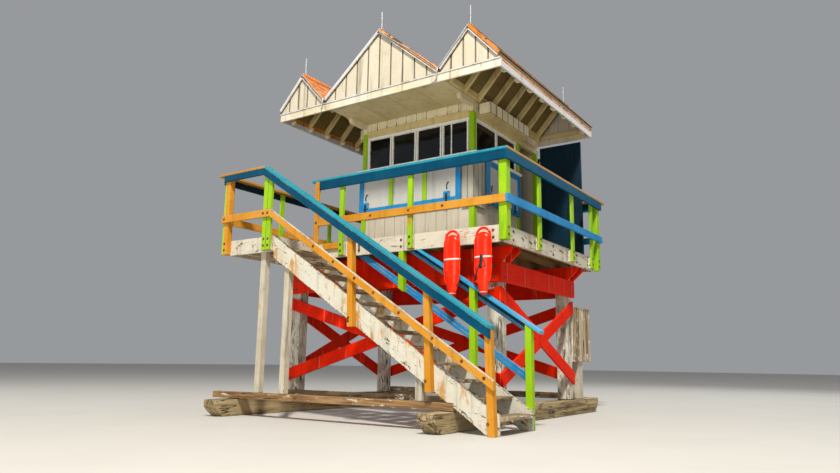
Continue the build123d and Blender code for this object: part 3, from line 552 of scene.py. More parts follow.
TRIM = Paint("White trim paint", "white_paint", (0.6, 0.6, 0.61), (0.52, 0.5, 0.47), (0.3, 0.22, 0.15), 0.004,
    0.5, drips=0.35, specks=0.4, rust=0.2)
# A brighter copy of the white trim paint for the windows: painted light that lifts the shade under the roof.
FRAME_PAINTED_LIGHT = Paint("White window paint with painted light", "white_paint", (0.88, 0.88, 0.86), (0.78, 0.77, 0.73), (0.36, 0.3, 0.22),
    0.003, 0.3, drips=0.3, specks=0.3)
EAVE = Paint("Cream eave paint", "white_paint", (0.64, 0.61, 0.53), (0.6, 0.5, 0.29), (0.42, 0.28, 0.14), 0.005,
    0.55, drips=0.5, specks=0.6, rust=0.5, fade=0.8)
CREAM = Paint("Cream wall paint", "cream_paint", (0.56, 0.51, 0.41), (0.49, 0.44, 0.35), (0.34, 0.26, 0.16),
    0.002, 0.12, drips=0.35, specks=0.4, joint=0.006)
GABLE = Paint("Cream gable paint", "cream_paint", (0.6, 0.545, 0.43), (0.52, 0.46, 0.33), (0.3, 0.22, 0.13),
    0.003, 0.25, drips=0.55, specks=0.7, joint=0.011)
# A far brighter copy of the cream paint for the frieze and hood boards: painted light that lifts the shade under
# the roof.
FRIEZE_PAINTED_LIGHT = Paint("Cream frieze paint with painted light", "cream_paint", (0.84, 0.76, 0.55), (0.74, 0.65, 0.43), (0.34, 0.25, 0.13),
    0.003, 0.25, drips=0.45, specks=0.7, joint=0.011)
CAPITAL = Paint("Cream post head paint", "cream_paint", (0.72, 0.63, 0.42), (0.62, 0.52, 0.3),
    (0.34, 0.25, 0.13), 0.004, 0.2, specks=0.6)
SOFFIT = Paint("Cream soffit paint", "tan_timber", (0.68, 0.58, 0.34), (0.58, 0.46, 0.23), (0.34, 0.25, 0.13),
    0.002, 0.12, drips=0.25, specks=0.5, joint=0.004, fade=0.7)
TAN = Paint("Tan soffit paint", "tan_timber", (0.64, 0.52, 0.26), (0.52, 0.4, 0.17), (0.26, 0.18, 0.09), 0.003,
    0.15, drips=0.35, specks=0.6, rust=0.15)
OLIVE = Paint("Olive sheathing", "tan_timber", (0.17, 0.12, 0.035), (0.11, 0.075, 0.02), (0.1, 0.07, 0.035),
    0.003, 0.2, specks=0.5, joint=0.006)
GREY = Paint("Grey corner paint", "grey_paint", (0.46, 0.44, 0.38), (0.36, 0.33, 0.26), (0.2, 0.16, 0.11),
    0.004, 0.4, drips=0.9, specks=0.6, joint=0.008)
PANEL = Paint("White shutter paint", "white_paint", (0.52, 0.53, 0.51), (0.46, 0.46, 0.43), (0.3, 0.24, 0.17),
    0.002, 0.18, drips=0.3, specks=0.25, joint=0.003)
ROOFING = Paint("Orange roof paint", "roof_paint", (0.7, 0.17, 0.012), (0.62, 0.31, 0.14), (0.36, 0.24, 0.15),
    0.01, 0.6, drips=0.6, specks=0.7, fade=0.8)
PROP = Paint("Worn prop paint", "weathered_timber", (0.56, 0.52, 0.42), (0.46, 0.4, 0.29), (0.24, 0.17, 0.1),
    0.006, 0.55, drips=0.6, specks=1.0, rust=0.5, cracks=0.7, fade=0.9)
LEG = BareTimber("Grey leg timber", "weathered_timber", (0.52, 0.48, 0.39), (0.42, 0.37, 0.28),
    (0.16, 0.125, 0.085), (0.64, 0.6, 0.51), 0.9, 1.0, 3.4)
SKID = BareTimber("Skid timber", "weathered_timber", (0.44, 0.34, 0.19), (0.3, 0.225, 0.12),
    (0.09, 0.062, 0.03), (0.46, 0.41, 0.29), 0.2, 1.0, 3.0, 0.009)
BEAM = BareTimber("Ground beam timber", "weathered_timber", (0.46, 0.31, 0.16), (0.33, 0.19, 0.085),
    (0.13, 0.07, 0.03), (0.62, 0.55, 0.42), 0.45, 1.0, 2.6)
SILL = BareTimber("Sill timber", "weathered_timber", (0.3, 0.21, 0.12), (0.2, 0.13, 0.07), (0.08, 0.05, 0.028),
    (0.62, 0.58, 0.48), 0.55, 1.0, 2.0)
TREAD = BareTimber("Tread timber", "deck_paint", (0.38, 0.29, 0.18), (0.25, 0.17, 0.095), (0.11, 0.07, 0.035),
    (0.62, 0.58, 0.48), 0.55, 1.0, 2.4)
JOIST = BareTimber("Joist timber", "weathered_timber", (0.32, 0.2, 0.085), (0.22, 0.13, 0.05),
    (0.09, 0.05, 0.02), (0.5, 0.42, 0.28), 0.1, 0.8, 1.5)
BOX_TIMBER = BareTimber("Box timber", "cream_paint", (0.6, 0.52, 0.38), (0.46, 0.36, 0.22), (0.2, 0.135, 0.07),
    (0.7, 0.66, 0.55), 0.75, 1.0, 2.2)
SLAT = BareTimber("Brown slat timber", "cream_paint", (0.5, 0.41, 0.28), (0.36, 0.27, 0.17), (0.14, 0.09, 0.05),
    (0.62, 0.57, 0.46), 0.6)
# Near-black sheets in the open box: painted shade for its dark inside, seen between the slats.
BOX_PAINTED_SHADE = BareTimber("Painted shade sheet in box", "cream_paint", (0.03, 0.022, 0.016), (0.018, 0.012, 0.009),
    (0.008, 0.006, 0.004), (0.04, 0.03, 0.02), 0.0)
IRON = Metal("Rusted iron", "iron", (0.16, 0.15, 0.14), 0.85, 0.7, 0.55)
BLACK_IRON = Metal("Black iron", "iron", (0.022, 0.02, 0.018), 0.12, 0.5, 0.55)
BOLT_IRON = Metal("Dark bolt iron", "iron", (0.06, 0.055, 0.05), 0.5, 0.6, 0.5)
ROD_STEEL = Metal("Rod steel", "rod_steel", (0.68, 0.69, 0.7), 0.05, 0.9, 0.3)
CABLE = Metal("Conductor metal", "rod_steel", (0.62, 0.61, 0.58), 0.1, 0.75, 0.4)
GLASS = Pane()
# Dark rubber for the window seals. It also makes the dark mullion strips, which are painted shade.
SEAL_AND_PAINTED_SHADE = Moulded("Window seal rubber and painted shade", "window_glass", (0.014, 0.014, 0.015), (0.05, 0.05, 0.05), 0.0, 0.6)
CAN_RED = Moulded("Rescue can plastic", "can_plastic", (0.9, 0.018, 0.0), (0.94, 0.06, 0.002), roughness=0.13,
    gloss=0.32)
CAN_STRAP = Moulded("Can strap webbing", "can_plastic", (0.74, 0.71, 0.66), (0.6, 0.54, 0.46), 55.0, 0.7)
CAN_BLACK = Moulded("Can harness webbing", "can_plastic", (0.014, 0.014, 0.015), (0.04, 0.04, 0.04), 55.0, 0.6)


# Board work

SQUARE = ((-1, -1), (1, -1), (1, 1), (-1, 1))  # corners of a bar's section
THINNEST = 0.004  # metres of timber that a saw still takes off
HEWN_STEP, SIDE_STEP = 0.07, 0.045  # metres between the cuts of a hewn timber, along it and across


def span(mesh: BMesh, way: Vector) -> tuple[float, float]:
    """Gives the least and the greatest reach of a solid along a direction."""
    values = [v.co.dot(way) for v in mesh.verts]
    return min(values), max(values)


def faces_between(mesh: BMesh, one: Sequence[BMVert], other: Sequence[BMVert]) -> None:
    """Skins the gap between two rings of equally many corners.

    Args:
        mesh: Where the faces go.
        one: The first ring.
        other: The second ring.
    """
    for i in range(len(one)):
        j = (i + 1) % len(one)
        mesh.faces.new((one[j], one[i], other[i], other[j]))


@dataclass
class Board:
    """One solid with the directions of its length, its depth and its thickness."""

    mesh: BMesh
    along: Vector
    second: Vector
    third: Vector

    @classmethod
    def of(cls, mesh: BMesh, grain: Vector | None = None) -> "Board":
        """Finds a solid's own directions from its edges.

        Args:
            mesh: The solid.
            grain: The direction of its grain, where that isn't its longest edge.

        Returns:
            The board.
        """
        edges = sorted(mesh.edges, key=lambda e: -e.calc_length())
        along = grain.normalized() if grain else (edges[0].verts[1].co - edges[0].verts[0].co).normalized()
        second = None
        for edge in edges:
            way = (edge.verts[1].co - edge.verts[0].co).normalized()
            if abs(way.dot(along)) < 0.02:
                second = way
                break
        if second is None:
            second = along.orthogonal().normalized()
        return cls(mesh, along, second, along.cross(second).normalized())

    def least(self) -> float:
        """The board's smallest dimension."""
        spans = [span(self.mesh, way) for way in (self.along, self.second, self.third)]
        return min(high - low for low, high in spans)

    def ease(self, width: float) -> None:
        """Takes the sharpness off the edges, with a bevel of the given width in metres."""
        sharp = [e for e in self.mesh.edges if len(e.link_faces) == 2
            and e.calc_face_angle(0.0) > math.radians(25)]
        bmesh.ops.bevel(self.mesh, geom=sharp, offset=min(width, self.least() * 0.22), offset_type="OFFSET",
            segments=1, profile=0.7, affect="EDGES", clamp_overlap=True)

    def hew(self, depth: float) -> None:
        """Roughens a heavy timber, cutting only inwards.

        Args:
            depth: The deepest hollow in metres.
        """
        for way, pitch in ((self.along, HEWN_STEP), (self.second, SIDE_STEP), (self.third, SIDE_STEP)):
            low, high = span(self.mesh, way)
            count = max(2, int((high - low) / pitch))
            for index in range(1, count):
                at = low + (high - low) * index / count
                geometry = self.mesh.verts[:] + self.mesh.edges[:] + self.mesh.faces[:]
                bmesh.ops.bisect_plane(self.mesh, geom=geometry, dist=1e-5, plane_co=way * at, plane_no=way)
        self.mesh.normal_update()
        moved = []
        for vert in self.mesh.verts:
            p = vert.co
            drawn = Vector((p.dot(self.along) * 2.5, p.dot(self.second) * 16.0, p.dot(self.third) * 16.0))
            rough = 0.5 + 0.5 * noise.noise(drawn) + 0.35 * noise.noise(p * 30.0)
            moved.append(p - vert.normal * depth * max(0.0, rough))
        for vert, p in zip(self.mesh.verts, moved):
            vert.co = p


def corners(mesh: BMesh) -> tuple[Vector, Vector]:
    """Gives the lowest and the highest corner of a solid's box."""
    low = Vector([min(v.co[i] for v in mesh.verts) for i in range(3)])
    return low, Vector([max(v.co[i] for v in mesh.verts) for i in range(3)])


def dress(node: str, finish: Finish) -> None:
    """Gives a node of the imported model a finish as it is.

    Args:
        node: The node's name.
        finish: The finish that it gets.
    """
    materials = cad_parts[node].data.materials
    materials.clear()
    materials.append(finish.material())


def solids_of(node: str) -> list[BMesh]:
    """Parts a copy of a node's mesh into its separate solids.

    Args:
        node: The node's name.

    Returns:
        One mesh for each solid, with its flat faces joined up.
    """
    whole = bmesh.new()
    whole.from_mesh(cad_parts[node].data)
    bmesh.ops.remove_doubles(whole, verts=whole.verts, dist=1e-5)
    seen: set[bmesh.types.BMFace] = set()
    found = []
    for first in whole.faces:
        if first in seen:
            continue
        seen.add(first)
        waiting, group = [first], []
        while waiting:
            face = waiting.pop()
            group.append(face)
            for edge in (e for e in face.edges if len(e.link_faces) == 2):
                for other in edge.link_faces:
                    if other not in seen:
                        seen.add(other)
                        waiting.append(other)
        part = bmesh.new()
        made: dict[BMVert, BMVert] = {}
        for face in group:
            for vert in face.verts:
                if vert not in made:
                    made[vert] = part.verts.new(vert.co)
            part.faces.new([made[v] for v in face.verts])
        bmesh.ops.dissolve_limit(part, angle_limit=math.radians(1.0), verts=part.verts, edges=part.edges)
        part.normal_update()
        found.append(part)
    whole.free()
    return found


def box_solid(low: Vector, high: Vector) -> BMesh:
    """Makes a plain block between two corners.

    Args:
        low: Lowest corner.
        high: Highest corner.

    Returns:
        The block.
    """
    made = bmesh.new()
    bmesh.ops.create_cube(made, size=1.0)
    middle, size = (low + high) / 2, high - low
    for vert in made.verts:
        vert.co = Vector((vert.co[i] * size[i] + middle[i] for i in range(3)))
    return made


def bar_solid(start: Vector, end: Vector, wide: float, deep: float, up: Vector) -> BMesh:
    """Makes a straight bar between two points.

    Args:
        start: Middle of one end.
        end: Middle of the other.
        wide: Size across, square to up.
        deep: Size along up.
        up: The direction of its depth.

    Returns:
        The bar.
    """
    along = (end - start).normalized()
    side = along.cross(up).normalized()
    top = side.cross(along).normalized()
    made = bmesh.new()
    ends = [[made.verts.new(point + side * (wide / 2 * a) + top * (deep / 2 * b)) for a, b in SQUARE]
            for point in (start, end)]
    made.faces.new(ends[0])
    made.faces.new(ends[1][::-1])
    faces_between(made, *ends)
    bmesh.ops.recalc_face_normals(made, faces=made.faces)
    return made


def split(mesh: BMesh, way: Vector, levels: Sequence[float], kerf: float = 0.0) -> list[BMesh]:
    """Saws a solid across a direction at the given levels.

    Args:
        mesh: The solid, which is used up.
        way: The direction to measure along.
        levels: Where the saw goes, in metres along the direction.
        kerf: Width of the cut.

    Returns:
        The sawn pieces.
    """
    low, high = span(mesh, way)
    marks = [low - 1.0] + [s for s in levels if low + THINNEST < s < high - THINNEST] + [high + 1.0]
    pieces = []
    for start, end in zip(marks, marks[1:]):
        part = mesh.copy()
        for at, clear_outer in ((start + kerf / 2, False), (end - kerf / 2, True)):
            geometry = part.verts[:] + part.edges[:] + part.faces[:]
            cut = bmesh.ops.bisect_plane(part, geom=geometry, dist=1e-6, plane_co=way * at, plane_no=way,
                                         clear_outer=clear_outer, clear_inner=not clear_outer)
            open_edges = [g for g in cut["geom_cut"] if isinstance(g, bmesh.types.BMEdge)]
            if open_edges:
                bmesh.ops.holes_fill(part, edges=open_edges, sides=0)
        if len(part.faces) > 3:
            bmesh.ops.recalc_face_normals(part, faces=part.faces)
            pieces.append(part)
    mesh.free()
    return pieces


def rows(mesh: BMesh, way: Vector, pitch: float, kerf: float = 0.0) -> list[BMesh]:
    """Saws a solid into boards of equal width.

    Args:
        mesh: The solid, which is used up.
        way: The direction across the boards.
        pitch: Width of a board.
        kerf: Gap between two boards.

    Returns:
        The boards.
    """
    low, high = span(mesh, way)
    count = max(1, round((high - low) / pitch))
    return split(mesh, way, [low + (high - low) * i / count for i in range(1, count)], kerf)


@dataclass
class Stack:
    """Boards of one finish, gathered into one mesh that rides on one body."""

    name: str
    finish: Finish
    body: Body = Body.TOWER
    stands_for: tuple[str, ...] = ()
    points: list[Vector] = field(default_factory=list)
    faces: list[list[int]] = field(default_factory=list)
    place: list[Vector] = field(default_factory=list)
    reach: list[Vector] = field(default_factory=list)
    seed: list[float] = field(default_factory=list)

    def add(self, board: Board, ease: float = 0.003, hew: float = 0.0) -> None:
        """Adds a board with its edges eased.

        Args:
            board: The board, whose mesh is used up.
            ease: Width of the eased edges.
            hew: Depth of the rough surface, or 0 for a planed board.
        """
        if ease > 0.0:
            board.ease(ease)
        if hew > 0.0:
            board.hew(hew)
        ways = (board.along, board.second, board.third)
        spans = [[v.co.dot(way) for v in board.mesh.verts] for way in ways]
        middle = [(min(s) + max(s)) / 2 for s in spans]
        half = Vector([(max(s) - min(s)) / 2 for s in spans])
        centre = ways[0] * middle[0] + ways[1] * middle[1] + ways[2] * middle[2]
        seed = 0.5 + 0.5 * noise.noise(centre * 7.31 + Vector((3.1, 1.7, 0.4)))
        start = len(self.points)
        board.mesh.verts.index_update()
        for index, vert in enumerate(board.mesh.verts):
            self.points.append(vert.co.copy())
            self.place.append(Vector([spans[i][index] - middle[i] for i in range(3)]))
            self.reach.append(half)
            self.seed.append(seed)
        for face in board.mesh.faces:
            self.faces.append([start + v.index for v in face.verts])
        board.mesh.free()

    def block(self, low: Sequence[float], high: Sequence[float], ease: float,
            grain: Vector | None = None) -> None:
        """Adds a plain block between two corners, with its edges eased."""
        self.add(Board.of(box_solid(Vector(low), Vector(high)), grain), ease)

    def mesh(self) -> Mesh:
        """Makes the mesh with the boards' own attributes.

        Returns:
            The mesh in its finish.
        """
        made = bpy.data.meshes.new(self.name)
        made.from_pydata([tuple(p) for p in self.points], [], self.faces)
        for key, values in (("board", self.place), ("reach", self.reach)):
            layer = made.attributes.new(key, "FLOAT_VECTOR", "POINT")
            layer.data.foreach_set("vector", [c for v in values for c in v])
        made.attributes.new("seed", "FLOAT", "POINT").data.foreach_set("value", self.seed)
        made.materials.append(self.finish.material())
        made.validate()
        return made

    def build(self) -> Object:
        """Makes the finished piece and lets it ride."""
        return settle(self.name, self.mesh(), self.body, self.stands_for)


def settle(name: str, mesh: Mesh, body: Body = Body.TOWER,
        stands_for: Iterable[str] = ()) -> Object:
    """Puts a piece in the scene, on its body and what it stands for.

    Args:
        name: The name of the piece.
        mesh: Its mesh.
        body: The body that it rides on.
        stands_for: The nodes that it replaces.

    Returns:
        The piece.
    """
    piece = bpy.data.objects.new(name, mesh)
    bpy.context.scene.collection.objects.link(piece)
    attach(piece, body.value)
    if stands_for:
        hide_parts(*stands_for)
    return piece


Chooser = Callable[[Vector, Vector], Finish]


@dataclass
class Joinery:
    """How the boards of one node are sawn, eased and painted."""

    node: str
    finish: Finish | Chooser
    ease: float = 0.003
    hew: float = 0.0
    body: Body = Body.TOWER
    across: Vector | None = None
    pitch: float = 0.15
    kerf: float = 0.0
    grain: Vector | None = None

    def choose(self, mesh: BMesh) -> Finish:
        """Gives the finish of a solid from its box."""
        return self.finish if isinstance(self.finish, Finish) else self.finish(*corners(mesh))

    def build(self, solids: list[BMesh] | None = None) -> list[Object]:
        """Dresses the node.

        Args:
            solids: What its solids were made into, if they were, which is used up.

        Returns:
            One object for each finish.
        """
        stacks: dict[str, Stack] = {}
        for solid in solids or solids_of(self.node):
            finish = self.choose(solid)
            boards = rows(solid, self.across, self.pitch, self.kerf) if self.across else [solid]
            if finish.name not in stacks:
                name = self.node if not stacks else f"{self.node}_{len(stacks) + 1}"
                stacks[finish.name] = Stack(f"{name}.boards", finish, self.body, (self.node,))
            for mesh in boards:
                stacks[finish.name].add(Board.of(mesh, self.grain), self.ease, self.hew)
        return [stack.build() for stack in stacks.values()]


# Repeated things


class Repeats:
    """The geometry trees for what repeats, each built once: fastenings and rows of boards."""

    @staticmethod
    def start(name: str, inputs: dict[str, object]) -> tuple[Wiring, Sockets, Node]:
        """Starts a geometry tree with its named inputs.

        Args:
            name: The tree's name.
            inputs: The usual values of its inputs by name.

        Returns:
            The wiring, the inputs by name and the output node.
        """
        tree = bpy.data.node_groups.new(name, "GeometryNodeTree")
        tree.interface.new_socket("Geometry", in_out="INPUT", socket_type="NodeSocketGeometry")
        for key, value in inputs.items():
            kind = {int: "Int", float: "Float", tuple: "Vector"}[type(value)]
            tree.interface.new_socket(key, in_out="INPUT",
                socket_type=f"NodeSocket{kind}").default_value = value
        tree.interface.new_socket("Material", in_out="INPUT", socket_type="NodeSocketMaterial")
        tree.interface.new_socket("Geometry", in_out="OUTPUT", socket_type="NodeSocketGeometry")
        return Wiring(tree), tree.nodes.new("NodeGroupInput").outputs, tree.nodes.new("NodeGroupOutput")

    @staticmethod
    def end(w: Wiring, made: NodeSocket, given: Sockets, end: Node) -> NodeTree:
        """Ends a tree: makes the copies real and sets their material.

        Args:
            w: The tree's wiring.
            made: What it has made.
            given: Its inputs by name.
            end: Its output node.

        Returns:
            The tree.
        """
        real = w.first("GeometryNodeRealizeInstances", {0: made})
        dressed = {"Geometry": real, "Material": given["Material"]}
        w.put(end.inputs[0], w.first("GeometryNodeSetMaterial", dressed))
        return w.tree

    @staticmethod
    def join(w: Wiring, *parts: NodeSocket) -> NodeSocket:
        """Joins pieces of geometry.

        Args:
            w: The tree's wiring.
            parts: The pieces.

        Returns:
            All of them together.
        """
        made = w.node("GeometryNodeJoinGeometry")
        for part in parts:
            w.put(made.inputs[0], part)
        return made.outputs[0]

    @classmethod
    @cache
    def bolts(cls) -> NodeTree:
        """Builds the tree of the bolt heads: a hexagon on a washer at every point, facing its own way.

        Returns:
            The tree.
        """
        inputs = {"Head": 0.011, "Height": 0.008, "Washer": 0.02, "Corners": 6, "Seed": 3}
        w, given, end = cls.start("Bolt heads", inputs)
        size = {"Vertices": given["Corners"], "Radius": given["Head"], "Depth": given["Height"]}
        head = w.first("GeometryNodeMeshCylinder", size)
        lift = w.first("ShaderNodeCombineXYZ", {2: w.times(given["Height"], 0.5)})
        head = w.first("GeometryNodeTransform", {"Geometry": head, "Translation": lift})
        washer = w.first("GeometryNodeMeshCylinder", {"Vertices": 14, "Radius": given["Washer"],
            "Depth": 0.004})
        facing = w.first("GeometryNodeInputNamedAttribute", {"Name": "facing"}, data_type="FLOAT_VECTOR")
        turned = w.first("FunctionNodeAlignRotationToVector", {"Vector": facing}, axis="Z")
        spots = {"Points": given["Geometry"], "Instance": cls.join(w, head, washer), "Rotation": turned}
        placed = w.first("GeometryNodeInstanceOnPoints", spots)
        spin = w.node("FunctionNodeRandomValue", {"Seed": given["Seed"]}, data_type="FLOAT").outputs[1]
        twist = w.first("ShaderNodeCombineXYZ", {2: w.times(spin, 1.05)})
        turn = {"Instances": placed, "Rotation": twist, "Local Space": True}
        return cls.end(w, w.first("GeometryNodeRotateInstances", turn), given, end)

    @classmethod
    @cache
    def row(cls) -> NodeTree:
        """Builds the tree of a row: copies of a board, each a little out of line and with its own seed.

        Returns:
            The tree.
        """
        inputs = {"Count": 5, "Step": (0.1, 0.0, 0.0), "Wander": (0.0, 0.0, 0.0), "Seed": 1}
        w, given, end = cls.start("Board row", inputs)
        line = w.first("GeometryNodeMeshLine", {"Count": given["Count"], "Offset": given["Step"]},
            mode="OFFSET")
        chance = w.first("FunctionNodeRandomValue", {0: (-1.0, -1.0, -1.0), 1: (1.0, 1.0, 1.0),
            "Seed": given["Seed"]}, data_type="FLOAT_VECTOR")
        drift = w.vector("MULTIPLY", chance, given["Wander"])
        moved = w.first("GeometryNodeSetPosition", {"Geometry": line, "Offset": drift})
        luck = w.node("FunctionNodeRandomValue", {"Seed": w.plus(given["Seed"], 7)},
            data_type="FLOAT").outputs[1]
        seeded = w.first("GeometryNodeStoreNamedAttribute", {"Geometry": moved, "Name": "seed", "Value": luck},
                         data_type="FLOAT", domain="POINT")
        placed = w.first("GeometryNodeInstanceOnPoints", {"Points": seeded, "Instance": given["Geometry"]})
        return cls.end(w, placed, given, end)

    @classmethod
    @cache
    def tube(cls) -> NodeTree:
        """Builds the tree of a round bar along a line, with a clip round it at every so many metres.

        Returns:
            The tree.
        """
        inputs = {"Radius": 0.006, "Clip radius": 0.014, "Clip length": 0.02, "Spacing": 0.5}
        w, given, end = cls.start("Clipped bar", inputs)
        line = w.first("GeometryNodeMeshToCurve", {0: given["Geometry"]})
        ring = w.first("GeometryNodeCurvePrimitiveCircle", {"Resolution": 8, "Radius": given["Radius"]},
            mode="RADIUS")
        bar = w.first("GeometryNodeCurveToMesh", {"Curve": line, "Profile Curve": ring, "Fill Caps": True})
        marks = w.node("GeometryNodeCurveToPoints", {"Curve": line, "Length": given["Spacing"]},
            mode="LENGTH").outputs
        size = {"Vertices": 8, "Radius": given["Clip radius"], "Depth": given["Clip length"]}
        clip = w.first("GeometryNodeMeshCylinder", size)
        clips = w.first("GeometryNodeInstanceOnPoints",
            {"Points": marks[0], "Instance": clip, "Rotation": marks[3]})
        return cls.end(w, cls.join(w, bar, clips), given, end)

    @staticmethod
    def grow(name: str, base: Mesh, tree: NodeTree, values: dict[str, object]) -> Mesh:
        """Runs a tree on a mesh and gives the plain result.

        Args:
            name: The name of the result.
            base: The mesh that goes in.
            tree: The geometry tree.
            values: The tree's inputs by name.

        Returns:
            The plain mesh.
        """
        carrier = bpy.data.objects.new(name + ".carrier", base)
        bpy.context.scene.collection.objects.link(carrier)
        modifier = carrier.modifiers.new("Repeat", "NODES")
        modifier.node_group = tree
        names = {item.name: item.identifier for item in tree.interface.items_tree if item.in_out == "INPUT"}
        for key, value in values.items():
            modifier[names[key]] = value
        carrier.update_tag()
        graph = bpy.context.evaluated_depsgraph_get()
        made = bpy.data.meshes.new_from_object(carrier.evaluated_get(graph), depsgraph=graph)
        carrier.modifiers.remove(modifier)
        bpy.data.objects.remove(carrier)
        made.name = name
        return made


@dataclass
class Fastenings:
    """Bolts and nail heads, set where boards cross and grown in one go."""

    bolts: list[tuple[Sequence[float], Vector]] = field(default_factory=list)
    nails: list[tuple[Sequence[float], Vector]] = field(default_factory=list)

    def bolt(self, at: Sequence[float], facing: Vector) -> None:
        """Sets a bolt at a place, facing out."""
        self.bolts.append((at, facing))

    def nail(self, at: Sequence[float], facing: Vector) -> None:
        """Drives a nail at a place, facing out."""
        self.nails.append((at, facing))

    def build(self) -> list[Object]:
        """Grows the heads at their places.

        Returns:
            The bolts and the nails, one piece each.
        """
        made = []
        kinds = (("bolt_heads", self.bolts, BOLT_IRON,
            {"Head": 0.012, "Height": 0.01, "Washer": 0.021, "Corners": 6}),
            ("nail_heads", self.nails, IRON, {"Head": 0.004, "Height": 0.003, "Washer": 0.005, "Corners": 8}))
        for name, spots, finish, sizes in kinds:
            base = bpy.data.meshes.new(name + ".spots")
            base.from_pydata([tuple(at) for at, _ in spots], [], [])
            layer = base.attributes.new("facing", "FLOAT_VECTOR", "POINT")
            layer.data.foreach_set("vector", [c for _, way in spots for c in way])
            grown = Repeats.grow(name, base, Repeats.bolts(),
                {**sizes, "Seed": 3, "Material": finish.material()})
            made.append(settle(name, grown))
        return made


FASTENINGS = Fastenings()


@dataclass
class BoardRow:
    """A row of like boards that the geometry tree repeats."""

    name: str
    finish: Finish
    first: BMesh
    count: int
    step: Vector
    wander: Vector = field(default_factory=Vector)
    seed: int = 1
    ease: float = 0.003
    stands_for: tuple[str, ...] = ()
    grain: Vector | None = None

    def build(self) -> Object:
        """Grows the row.

        Returns:
            The row as one piece.
        """
        stack = Stack(self.name, self.finish)
        stack.add(Board.of(self.first, self.grain), self.ease)
        base = stack.mesh()
        base.attributes.remove(base.attributes["seed"])
        values = {"Count": self.count, "Step": tuple(self.step), "Wander": tuple(self.wander),
            "Seed": self.seed, "Material": self.finish.material()}
        grown = Repeats.grow(self.name, base, Repeats.row(), values)
        return settle(self.name, grown, stands_for=self.stands_for)


# The tower's sub-assemblies


@dataclass
class GroundWorks:
    """Skids, sill planks, cross beam, legs and props: heavy timber, rough from the saw."""

    ease: float = 0.01
    skid_rough: float = 0.012
    beam_rough: float = 0.006
    leg_rough: float = 0.0022
    prop_ease: float = 0.004
    prop_rough: float = 0.0015

    def beam(self, low: Vector, high: Vector) -> Finish:
        """Gives the timber of a beam that lies on the skids by its place."""
        return BEAM if low.y < -2.0 else SILL

    def build(self) -> list[Object]:
        """Dresses the heavy timbers.

        Returns:
            The pieces.
        """
        made = []
        for node in ("skid_left", "skid_right"):
            made += Joinery(node, SKID, self.ease, self.skid_rough).build()
        made += Joinery("ground_beams", self.beam, self.ease, self.beam_rough).build()
        made += Joinery("legs", LEG, self.ease, self.leg_rough).build()
        return made + Joinery("props", PROP, self.prop_ease, self.prop_rough).build()


@dataclass
class RedFrame:
    """Girders, outriggers and cross braces, painted red and bolted through."""

    bolt_rows: tuple[float, float] = (0.07, 0.215)
    leg_middle: float = 0.1
    front_pair: float = 0.04
    side_shift: float = 0.03
    brace_end: tuple[float, float] = (0.08, 0.06)

    def build(self) -> list[Object]:
        """Dresses the frame and bolts it.

        Returns:
            The pieces.
        """
        made = []
        for node in ("side_girders", "end_girders", "outriggers", "braces_rising", "braces_falling"):
            made += Joinery(node, RED, ease=0.003).build()
        self.bolt_up()
        return made

    def bolt_up(self) -> None:
        """Sets the bolts at the legs and where the braces cross."""
        legs_low, legs_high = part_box("legs")
        end_low, end_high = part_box("end_girders")
        side_low, side_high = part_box("side_girders")
        brace_low, brace_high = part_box("braces_rising")
        for x in (legs_low.x + self.leg_middle, legs_high.x - self.leg_middle):
            for z in (end_low.z + row for row in self.bolt_rows):
                FASTENINGS.bolt((x - self.front_pair, end_low.y, z), -Y)
                FASTENINGS.bolt((x + self.front_pair, end_low.y, z), -Y)
                FASTENINGS.bolt((x, end_high.y, z), Y)
        for y in (legs_low.y + self.leg_middle, legs_high.y - self.leg_middle):
            for z in (side_low.z + row for row in self.bolt_rows):
                FASTENINGS.bolt((side_high.x, y - self.side_shift, z), X)
                FASTENINGS.bolt((side_low.x, y + self.side_shift, z), -X)
        inset, rise = self.brace_end
        for x in (legs_low.x + inset, legs_high.x - inset):
            for z in (brace_low.z + rise, brace_high.z - rise):
                FASTENINGS.bolt((x, brace_low.y, z), -Y)
                FASTENINGS.bolt((x, brace_high.y, z), Y)


@dataclass
class Deck:
    """Joists, floorboards and fascias of the deck and the landing."""

    board_width: float = 0.14
    gap: float = 0.006
    strap_places: tuple[float, float] = (-0.86, -0.45)
    strap_wide: float = 0.036
    strap_thick: float = 0.005
    strap_ends: tuple[float, float] = (0.05, 0.19)
    strap_bolts: tuple[float, float] = (0.08, 0.16)
    front_bolts: tuple[float, ...] = (0.35, 1.15, 1.9)
    side_bolts: tuple[float, ...] = (-1.1, 0.3, 1.3)

    def build(self) -> list[Object]:
        """Dresses the floors and their rims.

        Returns:
            The pieces.
        """
        made = Joinery("deck_joists", JOIST).build()
        for node, seed in (("deck_floor", 5), ("landing_floor", 9)):
            low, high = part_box(node)
            count = round((high.y - low.y) / self.board_width)
            pitch = (high.y - low.y) / count
            first = box_solid(low, Vector((high.x, low.y + pitch - self.gap, high.z)))
            made.append(BoardRow(node + ".boards", TREAD, first, count, Y * pitch, seed=seed,
                stands_for=(node,)).build())
        for node in ("long_fascias", "side_fascias", "landing_frame"):
            made += Joinery(node, WHITE, ease=0.004).build()
        return made + [self.iron_straps()]

    def iron_straps(self) -> Object:
        """Bolts the fascias up and sets the rusted straps on the front one.

        Returns:
            The straps.
        """
        low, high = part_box("long_fascias")
        straps = Stack("fascia_straps", IRON)
        half, face = self.strap_wide / 2, low.y - self.strap_thick
        for x in self.strap_places:
            foot, head = (low.z + end for end in self.strap_ends)
            straps.block((x - half, face, foot), (x + half, low.y, head), 0.001)
            for rise in self.strap_bolts:
                FASTENINGS.bolt((x, face, low.z + rise), -Y)
        for x in self.front_bolts:
            for z in (low.z + 0.07, high.z - 0.07):
                FASTENINGS.bolt((x, low.y, z), -Y)
        for y in self.side_bolts:
            for z in (low.z + 0.06, high.z - 0.06):
                FASTENINGS.bolt((high.x, y, z), X)
        return straps.build()


